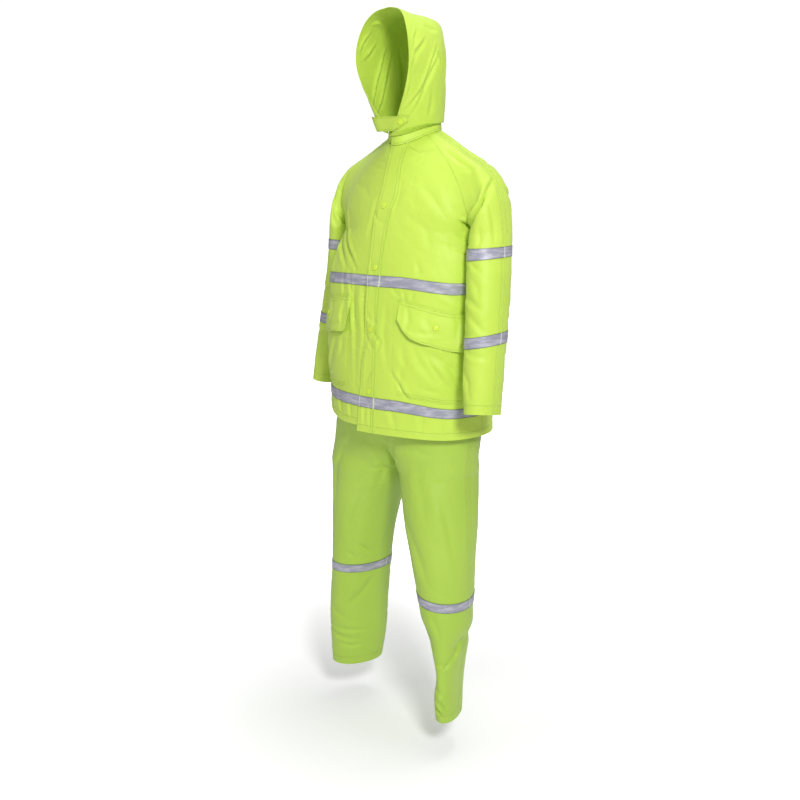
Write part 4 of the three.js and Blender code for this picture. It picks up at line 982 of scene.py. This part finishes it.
def cut_sheet(panel):
    """Works out the piece's flat cut in metres: its widest row, its longest column and the area of its surface; it
    keeps none of it.
    """
    p = panel.p / 1000
    across = np.linalg.norm(np.diff(p, axis=1), axis=2).sum(1).max()
    along = np.linalg.norm(np.diff(p, axis=0), axis=2).sum(0).max()
    a, b = p[1:, 1:] - p[:-1, :-1], p[1:, :-1] - p[:-1, 1:]
    area = np.linalg.norm(np.cross(a, b), axis=2).sum() / 2
    area = float(min(area, across * along))


def shell(name, panel, material, node_name, slot, thick=THICK):
    """A thin closed shell over a panel that stands for a CAD node: the panel's grid, the same grid moved inwards and
    turned round, and a rim of faces between their edges."""
    rows, columns = panel.p.shape[:2]
    vertices = np.concatenate([(panel.p + panel.n * rise).reshape(-1, 3) for rise in (0.0, -thick)])
    count = rows * columns
    top = grid_faces(rows, columns, panel.turn)
    loop = np.concatenate([
        np.arange(columns),
        np.arange(1, rows) * columns + columns - 1,
        (rows - 1) * columns + np.arange(columns - 2, -1, -1),
        np.arange(rows - 2, 0, -1) * columns,
    ])
    after = np.roll(loop, -1)
    rim = np.stack([loop, loop + count, after + count, after], -1)
    rim = rim if panel.turn > 0 else rim[:, ::-1]
    faces = np.concatenate([top, top[:, ::-1] + count, rim])
    near = np.stack([panel.first, panel.low], -1).reshape(-1, 2)
    far = np.stack([panel.last, panel.high], -1).reshape(-1, 2)
    maps = {"near": np.concatenate([near, near]), "far": np.concatenate([far, far])}
    made = build(name, vertices, faces, material, maps)
    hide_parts(node_name)
    place(made, slot)
    cut_sheet(panel)


def run(panel, edge, distance):
    """The points and normals of a line that keeps a distance from one edge of a panel."""
    upright = edge in ("low", "high")
    gone = getattr(panel, edge)
    lines = gone.T if upright else gone
    order = slice(None) if edge in ("first", "low") else slice(None, None, -1)
    steps = np.arange(lines.shape[1])[order]
    found = np.array([np.interp(distance, line[order], steps) for line in lines])
    lane = np.arange(len(lines))
    return panel.index(found, lane) if upright else panel.index(lane, found)


# A stitch's corners, in shares of its length, width and height: its foot and its smaller top.
STITCH = [
    (end * length, side * width, high)
    for length, width, high in ((0.5, 0.5, -0.3), (0.3, 0.3, 0.5))
    for end, side in ((-1, -1), (-1, 1), (1, 1), (1, -1))
]
STITCH_FACES = np.array([[4, 5, 6, 7], [0, 4, 7, 3], [1, 2, 6, 5], [0, 1, 5, 4], [3, 7, 6, 2]])


def stitches(name, rows, material, slot, pitch=4.4, length=3.1, width=0.75, thread=0.7, margin=3.0):
    """Rows of thread, each a panel, its edge and the distance from it: a small bar with chamfered ends for each
    stitch, all in one mesh."""
    bars = []
    for row in rows:
        p, n = run(*row)
        walk = walked(p)
        at = np.arange(margin, walk[-1] - margin, pitch)
        spot, ahead, up = along_path(at, walk, p), along_path(at + 1, walk, p), along_path(at, walk, n)
        t = ahead - spot
        t /= np.maximum(np.linalg.norm(t, axis=1), 1e-9)[:, None]
        side = np.cross(t, up)
        side /= np.maximum(np.linalg.norm(side, axis=1), 1e-9)[:, None]
        up = np.cross(side, t)
        bars.append(np.stack([
            spot + t * along * length + side * across * width + up * (STITCH_LIFT + high * thread)
            for along, across, high in STITCH
        ], 1))
    bars = np.concatenate(bars)
    faces = (STITCH_FACES[None] + len(STITCH) * np.arange(len(bars))[:, None, None]).reshape(-1, 4)
    place(build(name, bars.reshape(-1, 3), faces, material), slot)


# Panels of the suit


def soften(paths, strength):
    """Rows of points smoothed along themselves: each point becomes the mean of its neighbours weighted by a bell
    curve, as wide as its strength in millimetres. The first and last point of each row stay."""
    walk = walked(paths, 1)
    gap = walk[:, :, None] - walk[:, None, :]
    weight = np.exp(-0.5 * (gap / np.maximum(strength, 0.3)[:, :, None]) ** 2)
    weight = weight * np.gradient(walk, axis=1)[:, None, :]
    weight /= weight.sum(2, keepdims=True)
    smooth = np.einsum("rij,rjk->rik", weight, paths)
    smooth[:, 0], smooth[:, -1] = paths[:, 0], paths[:, -1]
    return smooth


def ease_raglan(half):
    """The yoke and both sleeve heads of one side of the jacket, smoothed across the raglan seams so that the cloth
    runs on over the shoulder, most in the middle of the seam and not at the armhole."""
    heads = [panels[f"sleeve_{half}_{name}"].p[HEAD] for name in SIDES]
    if half == "back":
        middle = panels["back"].p[HEAD]
    else:
        left, right = (panels[f"front_{name}"].p[HEAD] for name in SIDES)
        middle = np.concatenate([left[:, ::-1], right[:, 1:]], 1)
    path = np.concatenate([heads[0][:, ::-1], middle[:, 1:], heads[1][:, 1:]], 1)
    cols = heads[0].shape[1]
    walk = walked(path, 1)
    near = np.minimum(*(np.abs(walk - walk[:, seam, None]) for seam in (cols - 1, -cols)))
    fade = smoothstep(V_ROWS, 0, 0.3) * (1 - 0.8 * smoothstep(V_ROWS, 0.75, 1))
    smooth = soften(path, 26 * fade[:, None] * (1 - smoothstep(near, 30, 75)))
    panels[f"sleeve_{half}_left"].p[HEAD] = smooth[:, cols - 1 :: -1]
    panels[f"sleeve_{half}_right"].p[HEAD] = smooth[:, -cols:]
    body = smooth[:, cols - 1 : smooth.shape[1] - cols + 1]
    if half == "back":
        panels["back"].p[HEAD] = body
    else:
        width = left.shape[1]
        panels["front_left"].p[HEAD] = body[:, width - 1 :: -1]
        panels["front_right"].p[HEAD] = body[:, width - 1 :]


def sew(one, other):
    """Two edges that a seam joins, each a panel and its rows and column: their points and normals are made equal."""
    for field in ("p", "n"):
        a, b = (getattr(panels[name], field)[rows, column] for name, rows, column in (one, other))
        mean = (a + b) / 2
        if field == "n":
            mean = mean / np.linalg.norm(mean, axis=1)[:, None]
        for name, rows, column in (one, other):
            getattr(panels[name], field)[rows, column] = mean


# Rows of a panel: those of the body below the armholes, those above them, and all.
BODY_LOW, HEAD, EVERY = slice(0, len(Z_ROWS) - 1), slice(-len(V_ROWS), None), slice(None)
FINE = np.linspace(0, 11, 11 * PER + 1)
panels = {
    "front_left": Panel(front_panel("left", FINE), 1),
    "front_right": Panel(front_panel("right", FINE), -1),
    "back": Panel(back_panel(), 1),
}
TURNS = {("front", "left"): 1, ("front", "right"): -1, ("back", "left"): -1, ("back", "right"): 1}
for (half, name), turn in TURNS.items():
    panels[f"sleeve_{half}_{name}"] = Panel(sleeve_half(name, half), turn)
    panels[f"trouser_{half}_{name}"] = Panel(leg_half(name, half), turn)


def move_inseam(name, shift):
    """The inseam of a leg carried round the leg towards the back, fully at the knee and not at the fork."""
    front, back = (panels[f"trouser_{half}_{name}"] for half in ("front", "back"))
    n = front.p.shape[1]
    for r in range(front.p.shape[0] - len(RISE_ROWS)):
        ring = np.concatenate([back.p[r, ::-1], front.p[r, 1:]])
        walk = walked(ring)
        split = walk[n - 1] - shift * (1 - smoothstep(ring[n - 1, 2], 560, 730))
        for panel, stops in ((front, np.linspace(split, walk[-1], n)), (back, np.linspace(split, 0, n))):
            panel.p[r] = along_path(stops, walk, ring)


def fill_side(p):
    """The left side of the body stands out a little, up to the sleeve that hangs against it."""
    rise = smoothstep(p[..., 2], 930, 1010) * (1 - smoothstep(p[..., 2], 1290, 1350))
    p[..., 0] += 9 * smoothstep(p[..., 0], 130, 200) * rise


def shape_legs(half):
    """Forms of the legs: the right one flares under the jacket's hem, and the left one is slim down the front of the
    shin, with a kink below the knee where the cloth breaks."""
    for name in SIDES:
        panel = panels[f"trouser_{half}_{name}"]
        z, share = panel.p[..., 2], np.linspace(0, 1, panel.p.shape[1])[None]
        if name == "right":
            rise = 7 * smoothstep(z, 680, 770) * (1 - smoothstep(z, 835, 862)) * smoothstep(share, 0.4, 0.9)
        else:
            calf = smoothstep(z, 150, 235) * (1 - smoothstep(z, 300, 390))
            rise = -15 * calf * (1 - smoothstep(share, 0.2, 0.75))
            kink = 5 * bell(z, 350, 24) - 9 * bell(z, 306, 16)
            rise = rise + kink * smoothstep(share, 0.6, 1)
        panel.lift(rise)


for half in ("front", "back"):
    ease_raglan(half)
    shape_legs(half)
fill_side(panels["front_left"].p)
fill_side(panels["back"].p)
move_inseam("right", 42)
for panel in panels.values():
    panel.set(panel.p)


def top(name):
    """The uppermost row of a panel: its edge at the neck or the waist."""
    return panels[name].p[-1]


# The collar opens under the free edge of the storm flap, a little to the right of the middle.
OPEN = 11
neck = np.concatenate([
    top("front_right")[OPEN - 2:0:-1],
    top("front_left"),
    top("sleeve_front_left")[1:],
    top("sleeve_back_left")[-2::-1],
    top("back")[1:],
    top("sleeve_back_right")[1:],
    top("sleeve_front_right")[-2::-1],
    top("front_right")[-2:OPEN + 1:-1],
])
panels["collar"] = Panel(collar_band(neck), 1)
for name in SIDES:
    panels[f"hood_{name}"] = Panel(hood_half(name, panels["collar"].p), SIDES[name])


def middles(bands):
    """The middle height of each tape."""
    return [(low + high) // 2 for low, high in bands]


TAPED = {
    "front": middles(BODY_TAPES.values()),
    "back": middles(BODY_TAPES.values()),
    "sleeve": middles(SLEEVE_TAPES.values()),
    "trouser": middles([LEG_TAPE]),
}
for name, panel in panels.items():
    key = name.split("_")[0]
    heights = panel.p[:, 0, 2]
    if key in ("front", "back", "sleeve"):
        heights = np.concatenate([(SLEEVE_Z if key == "sleeve" else Z_ROWS)[:-1], YOKE_HEIGHTS])
    shaped(panel, CREASES.get(name, []), 0.3 if name == "collar" else 0.9, 9.0, TAPED.get(key, ()), heights)


def flap_grid():
    """The strip of both fronts that the storm flap covers, from its free edge to its stitched edge."""
    right, left = panels["front_right"].p, panels["front_left"].p
    return Panel(np.concatenate([right[:, PER:0:-1], left[:, : PER + 1]], 1), 1)


# The right front hangs a little higher than the flap at the middle.
flap = flap_grid()
right = panels["front_right"]
short = 13 * (1 - smoothstep(right.low, 0, 62)) * (1 - smoothstep(right.first, 60, 330))
right.set(right.p + short[..., None] * [0, 0, 1])
arm, fork = slice(0, len(SLEEVE_Z) - 1), slice(0, -len(RISE_ROWS))
for name, column in (("left", 0), ("right", -1)):
    sew((f"front_{name}", BODY_LOW, -1), ("back", BODY_LOW, column))
    sew((f"front_{name}", HEAD, -1), (f"sleeve_front_{name}", HEAD, 0))
    sew(("back", HEAD, column), (f"sleeve_back_{name}", HEAD, 0))
    sew((f"sleeve_front_{name}", arm, 0), (f"sleeve_back_{name}", arm, 0))
    sew((f"sleeve_front_{name}", EVERY, -1), (f"sleeve_back_{name}", EVERY, -1))
    sew((f"trouser_front_{name}", EVERY, -1), (f"trouser_back_{name}", EVERY, -1))
    sew((f"trouser_front_{name}", fork, 0), (f"trouser_back_{name}", fork, 0))
sew(("hood_left", EVERY, -1), ("hood_right", EVERY, -1))

# Stitched grooves of each kind of panel: an edge and the distance from it. The cloth dips along each and is painted
# darker there as shade.
SEAMS = {
    "front": [("last", 3), ("low", 17)],
    "back": [("low", 17), ("first", 3), ("last", 3)],
    "sleeve": [("last", 4), ("last", 10), ("low", 22)],
    "collar": [("low", 4)],
    "hood": [("last", 5)],
    "trouser": [("last", 4), ("last", 10), ("low", 22)],
}
finishes = {key: cloth(f"{key}_cloth", LEAF if key == "trouser" else LIME, seams) for key, seams in SEAMS.items()}
for name, panel in panels.items():
    key = name.split("_")[0]
    slot = "trouser_cloth" if key == "trouser" else "jacket_cloth"
    shell(f"{name}_panel", panel, finishes[key], name, slot)

# Waistband, hidden under the jacket
waist = np.concatenate([
    top("trouser_front_left"),
    top("trouser_back_left")[-2::-1],
    top("trouser_back_right")[1:],
    top("trouser_front_right")[-2::-1],
])
band = np.stack([waist + [0, 0, rise] for rise in np.linspace(0, WAISTBAND, 5)])
band_finish = cloth("waistband_cloth", LEAF, [("high", 4), ("low", 4)])
shell("waistband_band", Panel(band, 1), band_finish, "waistband", "trouser_cloth")

# Storm flap: it lifts towards its free edge, in slow waves along it.
wide = flap.first / flap.first[:, -1:]
fold_line = flap.p[..., 2] / 31
lift = 1.6 + 2.4 * (1 - wide) ** 3
lift = lift + 1.8 * (1 - wide) * (0.5 + 0.5 * np.sin(fold_line + 1.3 * np.sin(fold_line * 0.37)))
flap.lift(lift + folds(flap, CREASES["storm_flap"]))
panels["storm_flap"] = flap
FLAP_ROWS = [("last", 2), ("last", 9), ("first", 6), ("low", 17)]
flap_finish = cloth("storm_flap_cloth", LIME, FLAP_ROWS)
shell("storm_flap_panel", flap, flap_finish, "storm_flap", "jacket_cloth", thick=1.2)

# Tapes


def rows_at(heights, band):
    """The rows that lie nearest to the lower and the upper edge of a band."""
    return [int(np.abs(heights - z).argmin()) for z in band]


def tape(name, under, rows, slant=(0, 0), first=0):
    """A ring of tape on a panel between two rows, from the column first on. slant is how far it rises, in
    millimetres, at its first and its last column."""
    source = panels[under]
    r = np.arange(rows[0], rows[1] + 1)[:, None]
    c = np.arange(first, source.p.shape[1])[None]
    p, n = source.index(r + np.linspace(*slant, c.shape[1])[None] / STEP, c)
    strip = Panel(p + n * TAPE_LIFT, source.turn)
    strip.lift(ripple(strip.p * 3.1) * 0.25)
    shell(f"{name}_band", strip, tape_finish, name, "reflective_tape", thick=0.8)


LEG_SLANT = {"left": (13, -10), "right": (8, 0)}
for ring, band in BODY_TAPES.items():
    rows = rows_at(Z_ROWS, band)
    for name in SIDES:
        tape(f"tape_{ring}_{name}", f"front_{name}", rows, first=PER)
    tape(f"tape_{ring}_back", "back", rows)
    tape(f"tape_{ring}_flap", "storm_flap", rows)
for half, name in TURNS:
    for ring, band in SLEEVE_TAPES.items():
        tape(f"tape_sleeve_{ring}_{half}_{name}", f"sleeve_{half}_{name}", rows_at(SLEEVE_Z, band))
    tape(f"tape_leg_{half}_{name}", f"trouser_{half}_{name}", rows_at(leg_heights(name), LEG_TAPE), LEG_SLANT[name])

# Pockets. patch and flap are the first and last of the front's table columns that they cover. corner is how far the
# patch's lower inner corner is cut in and up to which share of its height, top the height of the flap's seam, low
# that of its two lower corners, and round how far up those are rounded.
pocket_finish = cloth("pocket_cloth", LIME, [("low", 4), ("low", 10)])
pocket_flap_finish = cloth("pocket_flap_cloth", LIME, [("high", 4), ("high", 11), ("low", 4)])
PATCH_BAND = (962, 1190)
POCKETS = {
    "left": {
        "patch": (2.62, 9.2), "corner": (0.5, 0.26),
        "flap": (3.02, 9.55), "top": 1198, "low": (1115, 1108), "round": 36,
    },
    "right": {
        "patch": (2.75, 9.2), "corner": (0.5, 0.2),
        "flap": (2.55, 9.1), "top": 1196, "low": (1104, 1128), "round": 17,
    },
}


def grid_shares(rows, columns):
    """Each point's share of the way up and across a grid."""
    return np.meshgrid(np.linspace(0, 1, rows), np.linspace(0, 1, columns), indexing="ij")


def patch(cut, front):
    """A pocket on its front: its cloth stands out most in the middle, by powers of a sine, and sags."""
    low, high = rows_at(Z_ROWS, PATCH_BAND)
    v, u = grid_shares(57, 52)
    inner = cut["patch"][0] + cut["corner"][0] * np.clip(1 - v / cut["corner"][1], 0, 1)
    p, n = front.index(low + (high - low) * v, PER * (inner + (cut["patch"][1] - inner) * u))
    pouch = 1.2 + 4 * np.sin(np.pi * u) ** 0.7 * np.sin(np.pi * np.clip(v, 0, 1) ** 0.8) ** 0.9
    pocket = Panel(p + n * pouch[..., None], front.turn)
    return pocket.lift(folds(pocket, CREASES["pocket"]) * smoothstep(pocket.low, 0, 14))


def pocket_cover(cut, front):
    """A pocket's flap: it hangs from its seam, stands off towards its lower edge and curls along it."""
    v, u = grid_shares(26, 60)
    low = cut["low"][0] + (cut["low"][1] - cut["low"][0]) * u
    from_side = np.minimum(u, 1 - u) * 150
    corner = cut["round"] * np.clip(1 - from_side / cut["round"], 0, 1) ** 2.2
    bottom = low + corner - 4 * np.sin(np.pi * u)
    rows = np.interp(bottom + (cut["top"] - bottom) * v, Z_ROWS, np.arange(len(Z_ROWS)))
    p, n = front.index(rows, PER * (cut["flap"][0] + np.ptp(cut["flap"]) * u))
    curl = 0.75 + 0.5 * np.sin(7.5 * u + 0.6) * np.sin(3.1 * u)
    stand = 3.0 + 14.0 * curl * (1 - v) ** 1.5 + 5.0 * np.sin(np.pi * u) * v * (1 - v) * 2
    cover = Panel(p + n * stand[..., None], front.turn)
    return cover.lift(folds(cover, CREASES["pocket_flap"]))


for name, cut in POCKETS.items():
    front = panels[f"front_{name}"]
    for part, make, finish, thick, under in (
        (f"pocket_{name}", patch, pocket_finish, 0.9, f"front_{name}"),
        (f"pocket_flap_{name}", pocket_cover, pocket_flap_finish, 1.3, f"pocket_{name}"),
    ):
        panels[part] = make(cut, front)
        kind = "panel" if make is pocket_cover else "patch"
        shell(f"{part}_{kind}", panels[part], finish, part, "jacket_cloth", thick=thick)

# Throat strap: round the far rim of the hood with a square end, across the gap, and on to the near side as a
# narrowing tab.
low, high = rows_at(HOOD_ROWS, (0.08, 0.2))
v, k = np.linspace(0, 1, 13)[:, None], np.linspace(0, 1, 14)[None]
tab_low, tab_high = 0.5 * k, 1 - 0.12 * k
far, out = panels["hood_right"].index(low + (high - low) * v, 9 * (1 - k))
far = far + out * (2.0 + 6.0 * (1 - k) ** 1.5)[..., None]
near, out = panels["hood_left"].index(low + (high - low) * (tab_low + (tab_high - tab_low) * v), 10.5 * k)
near = near + out * (3.6 - 1.2 * k + 0 * v)[..., None]
share = np.linspace(0, 1, 9)[None, 1:-1, None]
bridge = far[:, -1:] + (near[:, :1] - far[:, -1:]) * share
strap = Panel(np.concatenate([far, bridge, near], 1), 1)
strap_finish = cloth("strap_cloth", LIME, [("low", 3), ("high", 3), ("last", 4), ("first", 4)])
shell("throat_strap_band", strap, strap_finish, "throat_strap", "jacket_cloth", thick=1.4)

# Snaps

# A snap's cap from its foot to its middle: the radius and the height.
CAP = np.array([
    (7.6, 0), (7.7, 0.9), (7.2, 1.6), (6.4, 1.9), (5.5, 1.7), (4.6, 1.5), (3.2, 1.9), (1.6, 2.2), (0.01, 2.3),
])


def snap(name, panel, r, c, lift=0.2, around=32):
    """A domed cap with a raised rim and a shallow dish round its middle: its profile turned about the normal of the
    cloth."""
    p, n = (a.reshape(3) for a in panel.index(r, c))
    a = np.linspace(0, 2 * np.pi, around + 1)[:-1]
    side = np.cross(n, [0, 0, 1])
    side /= np.linalg.norm(side)
    up = np.cross(side, n)
    ring = np.cos(a)[:, None] * side + np.sin(a)[:, None] * up
    verts = (p + n * lift)[None, None] + CAP[:, None, :1] * ring[None] + CAP[:, None, 1:] * n[None, None]
    i, j = np.meshgrid(np.arange(len(CAP) - 1), np.arange(around), indexing="ij")
    k = (j + 1) % around
    quads = [i * around + j, (i + 1) * around + j, (i + 1) * around + k, i * around + k]
    piece = build(f"{name}_cap", verts.reshape(-1, 3), np.stack(quads, -1).reshape(-1, 4), snap_finish)
    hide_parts(name)
    place(piece, "snap_plastic")


for i, z in enumerate([963, 1118, 1272, 1423]):
    snap(f"snap_storm_flap_{i + 1}", flap, int(np.abs(flap.p[:, PER + 1, 2] - z).argmin()), 1.27 * PER)
for name in SIDES:
    snap(f"snap_pocket_{name}", panels[f"pocket_flap_{name}"], 14, 27.5)
snap("snap_throat_strap", strap, 6, 27)

# Topstitching: each row is a panel, its edge and the distance from it.


def rows_of(names, edge, *distances):
    """The same rows on several panels."""
    return [(panels[name], edge, distance) for name in names for distance in distances]


fronts, sleeves, legs, patches, covers, hoods = (
    [f"front_{name}" for name in SIDES],
    [f"sleeve_{half}_{name}" for half, name in TURNS],
    [f"trouser_{half}_{name}" for half, name in TURNS],
    [f"pocket_{name}" for name in SIDES],
    [f"pocket_flap_{name}" for name in SIDES],
    [f"hood_{name}" for name in SIDES],
)
stitches("jacket_topstitching", [
    *rows_of([*fronts, "back"], "low", 12, 17),
    *rows_of(sleeves, "last", 4, 10),
    *rows_of(sleeves, "low", 22),
    *((flap, *row) for row in FLAP_ROWS),
    *rows_of(patches, "low", 4, 10),
    *rows_of(covers, "high", 4, 11),
    *rows_of(covers, "low", 4),
    *rows_of(["collar"], "low", 4),
    *rows_of(hoods, "first", 16),
    *((strap, edge, 3) for edge in ("low", "high", "last")),
], thread_finish, "jacket_cloth")
stitches("trouser_topstitching", [
    *rows_of(legs, "last", 4, 10),
    *rows_of(legs, "low", 22),
], trouser_thread_finish, "trouser_cloth")

# Camera, floor and light

camera = bpy.data.objects.new("camera", bpy.data.cameras.new("camera"))
bpy.context.scene.collection.objects.link(camera)
camera.data.lens = 47.23
camera.data.sensor_width = 36
camera.location = (1.774, -2.064, -0.086)
camera.rotation_euler = (math.pi / 2 - 0.213, 0, 0.724)
bpy.context.scene.camera = camera

FLOOR_REACH = 14
floor = bpy.data.objects.new("floor", bpy.data.meshes.new("floor"))
corners = [(x * FLOOR_REACH, y * FLOOR_REACH, -NECK_HEIGHT / 1000) for x, y in ((-1, -1), (1, -1), (1, 1), (-1, 1))]
floor.data.from_pydata(corners, [], [(0, 1, 2, 3)])
floor_finish = bpy.data.materials.new("floor")
floor_finish.use_nodes = True
tree = floor_finish.node_tree
shader = tree.nodes["Principled BSDF"]
shader.inputs["Base Color"].default_value = (0.93, 0.93, 0.93, 1)
shader.inputs["Roughness"].default_value = 0.9
shader.inputs["Emission Color"].default_value = (1, 1, 1, 1)
# It glows with the distance from the suit, up to the white behind it, so that only the shadows show.
spot = node(tree, "TexCoord").outputs["Object"]
level = node(tree, "Mapping", {0: spot, 3: (1.0, 1.0, 0.0)}).outputs[0]
away = node(tree, "VectorMath", {0: level}, operation="LENGTH").outputs["Value"]
glow = spread_out(tree, away, 0.3, 1.7, 0.15, 1.0, interpolation_type="SMOOTHSTEP")
seen = node(tree, "LightPath").outputs["Is Camera Ray"]
tree.links.new(maths(tree, "MULTIPLY", glow, seen), shader.inputs["Emission Strength"])
floor.data.materials.append(floor_finish)
bpy.context.scene.collection.objects.link(floor)


def area_light(name, place, target, size, power):
    """A round light at a place, turned to a target: its tilt from straight down is the arc tangent of the level
    distance over the drop, and its turn is the target's bearing."""
    light = bpy.data.objects.new(name, bpy.data.lights.new(name, "AREA"))
    light.data.shape = "DISK"
    light.data.size = size
    light.data.energy = power
    light.location = place
    x, y, z = np.array(target, float) - np.array(place, float)
    light.rotation_euler = (math.atan2(math.hypot(x, y), -z), 0, math.atan2(x, -y) + math.pi)
    bpy.context.scene.collection.objects.link(light)


area_light("key", (3.0, -2.2, 1.6), (0, 0, -0.7), 0.9, 128)
area_light("fill", (-1.6, -3.4, 0.6), (0, 0, -0.7), 2.0, 19)
area_light("above", (0.2, 0.4, 2.6), (0, 0, -0.6), 1.6, 41)

# The world lights the suit softly and shows plain white behind it.
world = bpy.data.worlds.new("studio")
world.use_nodes = True
tree = world.node_tree
tree.nodes["Background"].inputs["Color"].default_value = (1, 1, 1, 1)
seen = node(tree, "LightPath").outputs["Is Camera Ray"]
strength = spread_out(tree, seen, 0.0, 1.0, 0.36, 1.05)
tree.links.new(strength, tree.nodes["Background"].inputs["Strength"])
bpy.context.scene.world = world
bpy.context.scene.view_settings.view_transform = "Standard"
